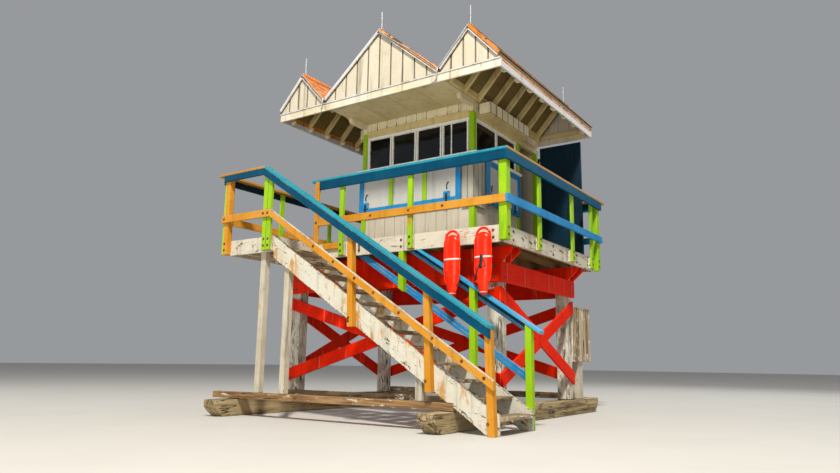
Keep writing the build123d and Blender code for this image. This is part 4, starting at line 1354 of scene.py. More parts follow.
@dataclass
class Stair:
    """Stringers, treads, posts, sloped caps and rails."""

    pale_edge: float = 0.014
    # Share of the far top rail painted navy as painted shade for the cap's shadow. The lower part stays azure as
    # the lit paint.
    cap_shadow_share: float = 0.62
    rail_bolts: tuple[float, ...] = (0.04, 0.17, 0.3, 0.41, 0.55, 0.72, 0.86, 0.96)
    bolts_from: float = 0.8
    rail_drop: float = 0.06
    post_bolts: tuple[tuple[float, float], ...] = ((0.245, 1.4), (1.5, 0.6), (2.36, 0.14), (0.24, 1.36))
    cap_to_post: float = 0.038

    def build(self) -> list[Object]:
        """Dresses the stair.

        Returns:
            The pieces.
        """
        made = Joinery("stringers", PEELING, ease=0.004).build()
        made += Joinery("treads", TREAD, ease=0.004).build()
        made += Joinery("stair_posts", lambda low, high: ORANGE if low.y < -2.0 else LIME).build()
        made += Joinery("stair_caps", lambda low, high: TEAL if low.y < -2.0 else FAR_CAP, ease=0.005).build()
        # The far top rail's upper part is painted navy as painted shade for the cap's cast shadow. Its lower part
        # is the azure paint.
        made += self.rails("stair_top_rails", NAVY_AND_CAP_SHADE, NAVY_AND_CAP_SHADE, AZURE, self.cap_shadow_share)
        made += self.rails("stair_mid_rails", ORANGE, AZURE, AZURE, 0.5)
        self.bolt_up()
        return made

    def rails(self, node: str, near: Finish, far_top: Finish, far_foot: Finish, share: float) -> list[Object]:
        """Dresses a pair of sloped rails, with the near one's top edge worn pale. On the top rails, the far rail's
        upper part is painted navy as painted shade for the cap's cast shadow.

        Args:
            node: The rails' node.
            near: Paint of the near rail.
            far_top: Paint of the far rail's upper part. On the top rails this is painted shade for the cap's
                shadow.
            far_foot: Paint of its lower part.
            share: Share of the far rail's depth that the upper part takes.

        Returns:
            The pieces.
        """
        stacks = {}
        for solid in solids_of(node):
            is_near = corners(solid)[0].y < -2.0
            up = Board.of(solid).along.cross(Y).normalized()
            up = up if up.z > 0.0 else -up
            foot, head = span(solid, up)
            cut = head - (self.pale_edge if is_near else share * (head - foot))
            finishes = (near, PALE_EDGE) if is_near else (far_foot, far_top)
            if is_near and near is NAVY_AND_CAP_SHADE:
                parts, finishes = [solid], (near,)
            else:
                parts = split(solid, up, [cut])
            parts.sort(key=lambda p: sum(v.co.dot(up) for v in p.verts) / len(p.verts))
            for finish, part in zip(finishes, parts):
                if finish.name not in stacks:
                    stacks[finish.name] = Stack(f"{node}_{len(stacks) + 1}.boards", finish, stands_for=(node,))
                stacks[finish.name].add(Board.of(part), 0.002)
        return [stack.build() for stack in stacks.values()]

    def bolt_up(self) -> None:
        """Bolts the near mid rail, the stringer and the posts together."""
        low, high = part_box("stair_mid_rails")
        slope = (high.z - low.z - 2 * self.rail_drop) / (high.x - low.x)
        for share in self.rail_bolts:
            x = low.x + self.bolts_from + share * (high.x - low.x - self.bolts_from)
            FASTENINGS.bolt((x, low.y, high.z - self.rail_drop - (x - low.x) * slope), -Y)
        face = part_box("stair_caps")[0].y + self.cap_to_post
        for x, z in self.post_bolts:
            FASTENINGS.bolt((x, face, z), -Y)


@dataclass
class Guard:
    """The guard round the deck and the landing."""

    post_thick: float = 0.038
    spacer: float = 0.19
    lime_strip: float = 0.03
    foot_bolts: tuple[float, float] = (0.07, 0.17)
    rail_height: float = 3.028
    rail_bolts: tuple[float, float] = (-0.15, 1.15)
    cap_to_rail: float = 0.95
    seam: float = -1.434
    seam_gap: float = 0.0035

    def cap(self, low: Vector, high: Vector) -> Finish:
        """Gives the paint of a cap by its side."""
        return TEAL if high.y - low.y < 0.2 and -2.0 < low.y < 0.0 else CAP_TAN

    def top(self, low: Vector, high: Vector) -> Finish:
        """Gives the paint of a top rail by its side. The right side gets a brighter copy of the navy as painted
        light.
        """
        if high.y - low.y < 1.0:
            return NAVY_AND_CAP_SHADE
        return SIDE_BLUE_PAINTED_LIGHT if low.x > 0.0 else DOOR_NAVY if low.x < -2.4 else NAVY_AND_CAP_SHADE

    def mid(self, low: Vector, high: Vector) -> Finish:
        """Gives the paint of a mid rail by its side."""
        right = high.x - low.x < 0.1 and low.x > 0.0
        return AZURE if right or low.y > 2.0 else ORANGE

    def post(self, low: Vector, high: Vector) -> Finish:
        """Gives the paint of a part of a guard post by its place."""
        end_post = -1.6 < low.y < -1.4 and -1.32 < low.x < -1.2
        landing_corner = low.y < -2.3 and -2.41 < low.x < -2.2
        if high.z - low.z < 0.4:
            return WHITE
        return ORANGE if landing_corner or end_post else LIME

    def build(self) -> list[Object]:
        """Dresses the guard and bolts its posts.

        Returns:
            The pieces.
        """
        made = Joinery("guard_posts", self.post).build(self.posts())
        made += Joinery("guard_caps", self.cap, ease=0.005).build()
        made += Joinery("guard_top_rails", self.top).build()
        made += Joinery("guard_mid_rails", self.mid).build()
        made += Joinery("toe_board", ORANGE).build()
        return made

    def parts(self, solid: BMesh) -> list[BMesh]:
        """Parts a post from its spacer, and the landing's corner post into its two colours.

        Args:
            solid: The post, which is used up.

        Returns:
            Its parts.
        """
        low, high = corners(solid)
        if high.x - low.x > 0.1:
            return split(solid, X, [low.x + self.lime_strip]) if low.y < -2.0 else [solid]
        if len(solid.faces) < 7:
            return [solid]
        axis, outer = (0, high.x > 2.1) if high.x > 2.1 or low.x < -2.4 else (1, low.y > 0.0)
        solid.free()
        inner = (high if outer else low)[axis] + (-1 if outer else 1) * self.post_thick
        post, spacer = [low.copy(), high.copy()], [low.copy(), high.copy()]
        post[0 if outer else 1][axis] = inner
        spacer[1 if outer else 0][axis] = inner
        spacer[1].z = low.z + self.spacer
        return [box_solid(*post), box_solid(*spacer)]

    def pull_apart(self, parts: list[BMesh]) -> list[BMesh]:
        """Widens the joint between the two posts that stand side by side at the stair head.

        Args:
            parts: Parts of a post.

        Returns:
            The same parts.
        """
        for vert in (v for part in parts for v in part.verts):
            if abs(vert.co.x - self.seam) < 0.003 and vert.co.y < -2.0:
                vert.co.x += self.seam_gap if vert.co.x > self.seam else -self.seam_gap
        return parts

    def posts(self) -> list[BMesh]:
        """Parts the posts, and sets bolts at their feet and rails.

        Returns:
            The parts of all posts.
        """
        parts = []
        rail_face, deck_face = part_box("guard_mid_rails")[0].y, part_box("guard_caps")[0].y + self.cap_to_rail
        for solid in solids_of("guard_posts"):
            low, high = corners(solid)
            middle = (low + high) / 2
            if low.y < -1.3 and high.x < 2.1:
                for rise in self.foot_bolts:
                    FASTENINGS.bolt((middle.x, low.y, low.z + rise), -Y)
                FASTENINGS.bolt((middle.x, rail_face if low.y < -2.0 else deck_face, self.rail_height), -Y)
            elif low.x > 2.0:
                for rise in self.foot_bolts:
                    FASTENINGS.bolt((high.x, middle.y, low.z + rise), X)
            parts += self.pull_apart(self.parts(solid))
        for x in self.rail_bolts:
            FASTENINGS.bolt((x, deck_face, self.rail_height), -Y)
        return parts


@dataclass
class Hut:
    """Walls of upright boards, their heads, posts, corner boards, hoods and ceiling."""

    board: float = 0.2
    ceiling_board: float = 0.568
    corner_board: float = 0.11
    frieze: float = 0.21
    frieze_gap: float = 0.006
    nail_rise: float = 0.035
    nail_sides: tuple[float, float] = (-0.05, 0.06)
    trim_top: float = 4.87
    capital: float = 4.826
    hood_base: float = 0.018

    def build(self) -> list[Object]:
        """Dresses the walls.

        Returns:
            The pieces.
        """
        posts = [part for solid in solids_of("hut_posts") for part in split(solid, Z, [self.capital])]
        made = Joinery("hut_posts", self.post, ease=0.004).build(posts)
        for node, across in (("front_wall", X), ("rear_wall", X), ("right_wall", Y), ("left_wall", Y)):
            made += Joinery(node, CREAM, across=across, pitch=self.board, grain=Z).build()
        made += Joinery("corner_boards", GREY, grain=Z).build(self.corner_strips())
        made += Joinery("ceiling", SOFFIT, ease=0.002, across=X, pitch=self.ceiling_board, grain=Y).build()
        made += Joinery("corbels", CAPITAL, ease=0.004).build()
        return made + self.heads() + self.hoods()

    def post(self, low: Vector, high: Vector) -> Finish:
        """Gives the paint of a part of a post by its height."""
        return CAPITAL if low.z > self.capital - 0.01 else LIME

    def corner_strips(self) -> list[BMesh]:
        """Saws the corner boards into strips about 100 mm wide.

        Returns:
            The strips.
        """
        strips = []
        for solid in solids_of("corner_boards"):
            low, high = corners(solid)
            strips += rows(solid, X if high.x - low.x > 0.1 else Y, self.corner_board, 0.002)
        return strips

    def heads(self) -> list[Object]:
        """Parts each wall head into its frieze boards and the trim below them.

        Returns:
            The frieze and the trim.
        """
        stands = ("wall_heads",)
        frieze = Stack("wall_heads.frieze", FRIEZE_PAINTED_LIGHT, stands_for=stands)
        trim = Stack("wall_heads.trim", TAN, stands_for=stands)
        for solid in solids_of("wall_heads"):
            low, high = corners(solid)
            across, through = (X, Y) if high.x - low.x > 1.0 else (Y, X)
            face = (low if low.dot(through) < 0.0 else high).dot(through)
            for part in split(solid, Z, [self.trim_top]):
                if corners(part)[0].z < self.trim_top - 0.01:
                    trim.add(Board.of(part), 0.004)
                    continue
                for strip in rows(part, across, self.frieze, self.frieze_gap):
                    start, end = span(strip, across)
                    if end - start > 0.1:
                        row = through * face + Z * (self.trim_top + self.nail_rise)
                        for side in self.nail_sides:
                            at = across * ((start + end) / 2 + side) + row
                            FASTENINGS.nail(at, through * math.copysign(1, face))
                    frieze.add(Board.of(strip, Z), 0.002)
        return [frieze.build(), trim.build()]

    def hoods(self) -> list[Object]:
        """Boards the hoods over the side windows, on a plain base.

        Returns:
            The sides and the base.
        """
        stands = ("window_hoods",)
        sides = Stack("window_hoods.sides", FRIEZE_PAINTED_LIGHT, stands_for=stands)
        base = Stack("window_hoods.base", TAN, stands_for=stands)
        for solid in solids_of("window_hoods"):
            foot = corners(solid)[0].z + self.hood_base
            for part in split(solid, Z, [foot]):
                if corners(part)[0].z < foot - 0.005:
                    base.add(Board.of(part), 0.003)
                    continue
                for strip in rows(part, Y, self.frieze, self.frieze_gap):
                    sides.add(Board.of(strip, Z), 0.002)
        return [sides.build(), base.build()]


@dataclass
class WallSide:
    """A side of the hut, with its direction along the wall and away from the hut."""

    side: Vector
    outward: Vector

    @classmethod
    def of(cls, low: Vector, high: Vector) -> "WallSide":
        """Finds the side that a flat box lies on, from its lowest and its highest corner."""
        front = high.x - low.x > high.y - low.y
        return cls(X, -Y) if front else cls(Y, X if low.x > 0.0 else -X)

    def bar(self, stack: Stack, ends: Sequence[float], heights: Sequence[float], face: float,
            depth: float) -> None:
        """Adds a flat bar that lies on the wall.

        Args:
            stack: Where it goes.
            ends: Where it starts and ends along the wall.
            heights: Its foot and its head.
            face: How far out the wall's face is.
            depth: How far the bar stands off it.
        """
        one = self.side * ends[0] + self.outward * face + Z * heights[0]
        other = self.side * ends[1] + self.outward * (face + depth) + Z * heights[1]
        low, high = zip(*(sorted(pair) for pair in zip(one, other)))
        stack.block(low, high, min(0.002, depth * 0.2))


@dataclass
class Windows:
    """Window frames with their sashes, ledges and dark glass."""

    sash: float = 0.013
    sash_deep: float = 0.014
    seal: float = 0.007
    seal_deep: float = 0.006
    # joint: where a dark strip lies on each mullion. It is painted shade for the shadow line between two sash bars.
    joint: tuple[float, float] = (0.026, 0.034)
    shade_line_off: float = 0.0225
    shade_line_deep: float = 0.002
    extra_bar: tuple[float, float] = (0.14, 0.022)

    def build(self) -> list[Object]:
        """Dresses the window bands.

        Returns:
            The pieces.
        """
        made = Joinery("window_frames", FRAME_PAINTED_LIGHT).build() + Joinery("window_ledges", FRAME_PAINTED_LIGHT, ease=0.004).build()
        glass = Stack("window_glass.panes", GLASS, stands_for=("window_glass",))
        sashes, seals_and_shade = Stack("window_sashes", FRAME_PAINTED_LIGHT), Stack("window_seals_and_shade", SEAL_AND_PAINTED_SHADE)
        for solid in solids_of("window_glass"):
            low, high = corners(solid)
            glass.add(Board.of(solid), 0.0)
            self.sash_of(sashes, seals_and_shade, low, high)
        return made + [glass.build(), sashes.build(), seals_and_shade.build()]

    def sash_of(self, sashes: Stack, seals_and_shade: Stack, low: Vector, high: Vector) -> None:
        """Puts a narrow sash and its dark seal round a pane, and a dark strip of painted shade on the mullion
        beside it.

        Args:
            sashes: Where the bars go.
            seals_and_shade: Where the dark seals go, and the strips of painted shade.
            low: Lowest corner of the pane.
            high: Highest corner of the pane.
        """
        wall = WallSide.of(low, high)
        face = max(low.dot(wall.outward), high.dot(wall.outward))
        start, end = low.dot(wall.side), high.dot(wall.side)
        thin, seal = self.sash, self.seal
        inner = (low.z + thin, high.z - thin)
        for ends in ((start, start + thin), (end - thin, end)):
            wall.bar(sashes, ends, (low.z, high.z), face, self.sash_deep)
        for ends in ((start + thin, start + thin + seal), (end - thin - seal, end - thin)):
            wall.bar(seals_and_shade, ends, inner, face, self.seal_deep)
        for heights in ((low.z, low.z + thin), (high.z - thin, high.z)):
            wall.bar(sashes, (start + thin, end - thin), heights, face, self.sash_deep)
        # A dark strip on the mullion: painted shade for the shadow line between the two sash bars.
        joint = [end + off for off in self.joint]
        wall.bar(seals_and_shade, joint, (low.z, high.z), face + self.shade_line_off, self.shade_line_deep)
        if wall.side == X and start > 0.45:
            at = start + self.extra_bar[0]
            wall.bar(sashes, (at, at + self.extra_bar[1]), inner, face, self.sash_deep)


@dataclass
class Shutters:
    """Storm shutters that hang under the windows: blue frames, white panels, lime battens."""

    frame_width: float = 0.09
    recess: float = 0.015
    batten: float = 0.085
    plate: float = 0.12
    plate_proud: float = 0.012
    insets: tuple[float, float] = (0.15, 0.16)
    latch: tuple[float, float] = (0.036, 0.008)
    hook_iron: float = 0.014
    hook_path: tuple[tuple[float, float], ...] = (
        (0.0, 0.0), (-0.008, 0.035), (-0.004, 0.07), (0.012, 0.1), (0.028, 0.108))

    def build(self) -> list[Object]:
        """Builds the three shutters and gives their pieces."""
        kinds = (("front_shutter", 2), ("right_shutter", 1), ("left_shutter", 1))
        return [piece for node, battens in kinds for piece in self.shutter(node, battens)]

    def shutter(self, node: str, battens: int) -> list[Object]:
        """Builds a shutter in the box of its node.

        Args:
            node: The node that it stands for.
            battens: Number of upright battens.

        Returns:
            The panel, the frame, the battens and the iron.
        """
        low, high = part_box(node)
        wall = WallSide.of(low, high)
        a0, a1 = low.dot(wall.side), high.dot(wall.side)
        outer, thick = max(low.dot(wall.outward), high.dot(wall.outward)), abs((high - low).dot(wall.outward))
        stands = (node,)
        panel, rim = Stack(f"{node}.panel", PANEL, stands_for=stands), Stack(f"{node}.rim", AZURE,
            stands_for=stands)
        strips, plates = Stack(f"{node}.battens", LIME, stands_for=stands), Stack(f"{node}.plates", AZURE)
        irons = Stack(f"{node}.latches", BLACK_IRON)
        f = self.frame_width
        cracks = [a0 + 0.01] + [a0 + (a1 - a0) * i / (battens + 1) for i in range(1, battens + 1)] + [a1 - 0.01]
        back, sunk = outer - thick, outer - self.recess
        for ends in zip(cracks, cracks[1:]):
            wall.bar(panel, ends, (low.z + 0.01, high.z - 0.01), back, thick - self.recess)
        for ends in ((a0, a0 + f), (a1 - f, a1)):
            wall.bar(rim, ends, (low.z, high.z), back + 0.002, thick - 0.002)
        for heights in ((low.z, low.z + f), (high.z - f, high.z)):
            wall.bar(rim, (a0 + f, a1 - f), heights, back + 0.002, thick - 0.002)
        for at in cracks[1:-1]:
            ends = (at - self.batten / 2, at + self.batten / 2)
            wall.bar(strips, ends, (low.z + f, high.z - f), sunk, self.recess - 0.001)
        wide, proud = self.latch
        for at in (a0 + self.insets[0], a1 - f - self.insets[1]):
            wall.bar(plates, (at - self.plate / 2, at + self.plate / 2), (low.z + f * 0.9, low.z + f * 2.1),
                sunk, self.recess + self.plate_proud)
            wall.bar(irons, (at - wide / 2, at + wide / 2), (low.z + 0.01, low.z + f * 1.7),
                outer + self.plate_proud, proud)
            self.hook(irons, wall, at, low.z + f * 2.55, sunk + proud)
        return [piece.build() for piece in (panel, rim, strips, plates, irons)]

    def hook(self, irons: Stack, wall: WallSide, at: float, foot: float, face: float) -> None:
        """Adds a hook of flat iron that leans over at its head.

        Args:
            irons: Where it goes.
            wall: The side of the hut that it is on.
            at: Where it stands along the wall.
            foot: Height of its foot.
            face: How far out its middle is.
        """
        for steps in zip(self.hook_path, self.hook_path[1:]):
            start, end = (wall.side * (at + s) + wall.outward * face + Z * (foot + h) for s, h in steps)
            reach = (end - start).normalized() * 0.004
            solid = bar_solid(start - reach, end + reach, self.hook_iron, self.hook_iron, wall.outward)
            irons.add(Board.of(solid), 0.002)


@dataclass
class Door:
    """The boarded door leaf with its ledges and iron, standing open."""

    board: float = 0.16

    def build(self) -> list[Object]:
        """Dresses the leaf.

        Returns:
            The pieces.
        """
        made = Joinery("door_leaf", DOOR_NAVY, body=Body.DOOR, across=X, pitch=self.board, grain=Z).build()
        for node in ("door_hardware", "door_pintles"):
            dress(node, BLACK_IRON)
        return made


@dataclass
class Roof:
    """Three gables side by side, their boards, trims, rafters and roofing."""

    course: float = 0.17
    lap: float = 1.06
    plate: float = 0.01
    tilt: float = 2.6
    gable_board: float = 0.227
    gable_gap: float = 0.01
    foot_lift: float = 0.06
    narrow_rake: float = 0.055
    pale_rake: float = 0.026
    orange_rake: float = 0.058
    orange_top: float = 0.02
    narrow_top: float = 0.012
    rake_thick: float = 0.022
    eave_split: float = 5.035
    top_strip: float = 0.022
    cap_width: float = 0.11
    cap_thick: float = 0.008
    cap_lift: float = 0.024
    rafter_half: float = 0.025
    rafter_behind: float = 0.031
    rafter_outline: tuple[tuple[float, float], ...] = (
        (0.0, 4.965), (0.05, 4.955), (0.085, 4.972), (0.1, 5.005), (0.1, 5.02), (0.0, 4.995))
    tie_inset: float = 0.2
    tie_depths: tuple[float, float] = (0.06, 0.022)
    tie_heights: tuple[float, float] = (5.04, 5.12)

    def build(self) -> list[Object]:
        """Dresses the roof.

        Returns:
            The pieces.
        """
        made = []
        for node in ("roof_middle_left", "roof_middle_right", "roof_inner_slopes", "roof_outer_slopes"):
            made += Joinery(node, OLIVE, across=Z, pitch=self.course, grain=Y).build()
        made += Joinery("gable_ends", GABLE, across=X, pitch=self.gable_board, kerf=self.gable_gap,
            grain=Z).build()
        made += Joinery("valley_beams", TAN, ease=0.004).build()
        made += Joinery("side_rafters", TAN, ease=0.004).build()
        eaves = [part for solid in solids_of("eave_boards") for part in self.eave_parts(solid)]
        made += Joinery("eave_boards", self.eave).build(eaves)
        return made + self.cladding() + self.rakes() + [self.rafter_feet(), self.tie_beams()]

    def eave_parts(self, solid: BMesh) -> list[BMesh]:
        """Parts a side eave board along its length, and leaves the end ones whole."""
        low, high = corners(solid)
        return [solid] if high.x - low.x > 1.0 else split(solid, Z, [self.eave_split])

    def eave(self, low: Vector, high: Vector) -> Finish:
        """Gives the paint of an eave board by its place."""
        if high.x - low.x > 1.0:
            return EAVE
        return WORN_ORANGE if low.z > self.eave_split - 0.01 else TRIM

    def slopes(self) -> list[tuple[Vector, Vector]]:
        """Finds the edges of the slopes on their top faces, at the front.

        Returns:
            Each slope's eave and ridge.
        """
        left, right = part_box("roof_middle_left"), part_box("roof_middle_right")
        inner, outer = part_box("roof_inner_slopes"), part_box("roof_outer_slopes")
        foot = left[0].z + self.foot_lift
        places = ((left[0].x, left[1]), (right[1].x, left[1]), (left[0].x, inner[0]), (outer[0].x, inner[0]),
                  (right[1].x, inner[1]), (outer[1].x, inner[1]))
        return [(Vector((x, 0, foot)), Vector((ridge.x, 0, max(ridge.z, inner[1].z)))) for x, ridge in places]

    @staticmethod
    def upward(eave: Vector, ridge: Vector) -> Vector:
        """Gives the direction square to a slope, away from the hut."""
        up = (ridge - eave).cross(Y).normalized()
        return up if up.z > 0.0 else -up

    def cladding(self) -> list[Object]:
        """Lays lapped courses of roofing over each slope, and a cap on each ridge.

        Returns:
            One row of courses for each slope, and the caps.
        """
        made = []
        low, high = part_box("roof_middle_left")
        ends = (Y * (low.y + 0.002), Y * (high.y - 0.002))
        caps = Stack("ridge_caps", ROOFING)
        for number, (eave, ridge) in enumerate(self.slopes(), start=1):
            along, up = (ridge - eave).normalized(), self.upward(eave, ridge)
            length = (ridge - eave).length
            count = max(3, round(length / self.course))
            pitch = length / count
            centre = eave + along * (0.002 + pitch / 2) + up * self.plate
            first = bar_solid(centre + ends[0], centre + ends[1], pitch * self.lap, self.plate, up)
            tilt = Matrix.Rotation(math.radians(self.tilt) * (1 if ridge.x > eave.x else -1), 4, "Y")
            for vert in first.verts:
                vert.co = tilt @ (vert.co - centre) + centre
            made.append(BoardRow(f"roof_courses_{number}", ROOFING, first, count, along * pitch,
                Vector((0, 0.004, 0)), seed=number + 1, ease=0.002, grain=Y).build())
            at = ridge - along * (self.cap_width / 2 - 0.004) + up * self.cap_lift
            caps.add(Board.of(bar_solid(at + ends[0], at + ends[1], self.cap_width, self.cap_thick, up)), 0.002)
        return made + [caps.build()]

    def rakes(self) -> list[Object]:
        """Nails boards along the rakes: a narrow pale one on left slopes, pale under orange on right ones.

        Returns:
            The pale and the orange trim.
        """
        low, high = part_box("roof_middle_left")
        pale, orange = Stack("rake_trims", TRIM), Stack("rake_drips", WORN_ORANGE)
        left = ((pale, self.rake_thick, self.narrow_rake, self.narrow_top),)
        right = ((orange, self.rake_thick + 0.01, self.orange_rake, self.orange_top),
                 (pale, self.rake_thick, self.pale_rake, self.orange_top - self.orange_rake))
        for eave, ridge in self.slopes():
            up = self.upward(eave, ridge)
            for y, out in ((low.y, -1.0), (high.y, 1.0)):
                for stack, thick, deep, top in right if ridge.x < eave.x else left:
                    lift = up * (top - deep / 2) + Y * (y + out * thick / 2)
                    stack.add(Board.of(bar_solid(eave + lift, ridge + lift, thick, deep, up)), 0.003)
        eave_low, eave_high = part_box("eave_boards")
        pale.block((eave_low.x, eave_low.y - 0.012, low.z - self.top_strip),
            (eave_high.x, eave_low.y - 0.0005, low.z), 0.003)
        return [pale.build(), orange.build()]

    def rafter_feet(self) -> Object:
        """Sets the small rounded feet of the side rafters behind the eave boards.

        Returns:
            The feet.
        """
        stack = Stack("rafter_feet", CAPITAL)
        low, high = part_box("eave_boards")
        places = sorted({round((a.y + b.y) / 2, 3) for a, b in (corners(s) for s in solids_of("side_rafters"))})
        for y in places:
            for edge, inward in ((high.x - self.rafter_behind, -1.0), (low.x + self.rafter_behind, 1.0)):
                part = bmesh.new()
                sides = [[part.verts.new((edge + inward * x, y + dy, z)) for x, z in self.rafter_outline]
                         for dy in (-self.rafter_half, self.rafter_half)]
                part.faces.new(sides[0])
                part.faces.new(sides[1][::-1])
                faces_between(part, *sides)
                bmesh.ops.recalc_face_normals(part, faces=part.faces)
                stack.add(Board.of(part, X), 0.002)
        return stack.build()

    def tie_beams(self) -> Object:
        """Lays a tie across each side gable, just inside its rear boards.

        Returns:
            The ties.
        """
        stack = Stack("gable_ties", TAN)
        low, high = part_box("valley_beams")
        eave_low, eave_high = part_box("eave_boards")
        front, rear = (high.y - depth for depth in self.tie_depths)
        foot, head = self.tie_heights
        for x0, x1 in ((high.x + 0.01, eave_high.x - self.tie_inset),
                (eave_low.x + self.tie_inset, low.x - 0.01)):
            stack.block((x0, front, foot), (x1, rear, head), 0.003)
        return stack.build()


@dataclass
class LightningGuard:
    """Rods on the ridges and the conductor that is clipped along the gables."""

    conductor: float = 0.008
    clip: tuple[float, float] = (0.013, 0.024)
    spacing: float = 0.42
    off: float = 0.036
    sway: float = 0.01
    lead_in: tuple[float, float] = (-1.3, 5.0)

    def build(self) -> list[Object]:
        """Dresses the rods and clips the conductor.

        Returns:
            The conductor.
        """
        dress("lightning_rods", ROD_STEEL)
        roof_low, roof_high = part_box("roof_middle_left")
        inner_low, inner_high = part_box("roof_inner_slopes")
        y = roof_low.y - self.off
        foot, top, side_top = roof_low.z + 0.06, roof_high.z - 0.03, inner_high.z - 0.03
        left, right = roof_low.x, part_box("roof_middle_right")[1].x
        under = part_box("eave_boards")[0].z - 0.012
        routes = (((roof_high.x, y, top), (right, y, foot), (right - 0.02, y, 5.02), (right - 0.05, y, under),
                   (right - 0.4, *self.lead_in)),
                  ((inner_low.x, y, side_top), (left, y, foot), (left - 0.03, y, 5.0), (left - 0.04, y, under),
                   (left + 0.3, *self.lead_in)),
                  ((inner_high.x, y, side_top), (right, y, foot)))
        points: list[Vector] = []
        edges: list[tuple[int, int]] = []
        for route in routes:
            self.follow([Vector(p) for p in route], points, edges)
        base = bpy.data.meshes.new("conductor.line")
        base.from_pydata([tuple(p) for p in points], edges, [])
        values = {"Radius": self.conductor, "Clip radius": self.clip[0], "Clip length": self.clip[1],
                  "Spacing": self.spacing, "Material": CABLE.material()}
        return [settle("conductor", Repeats.grow("conductor", base, Repeats.tube(), values))]

    def follow(self, route: list[Vector], points: list[Vector], edges: list[tuple[int, int]]) -> None:
        """Lays a conductor along a route, with a little sway between its clips.

        Args:
            route: The corners of the route.
            points: All points so far.
            edges: All edges so far.
        """
        start = len(points)
        for one, other in zip(route, route[1:]):
            steps = max(2, int((other - one).length / 0.06))
            for k in range(steps):
                at = one.lerp(other, k / steps)
                points.append(at + Vector((0.4, 0.0, 1.0)) * self.sway * math.sin(at.x * 11.0 + at.z * 7.0))
        points.append(route[-1])
        edges += [(i, i + 1) for i in range(start, len(points) - 1)]


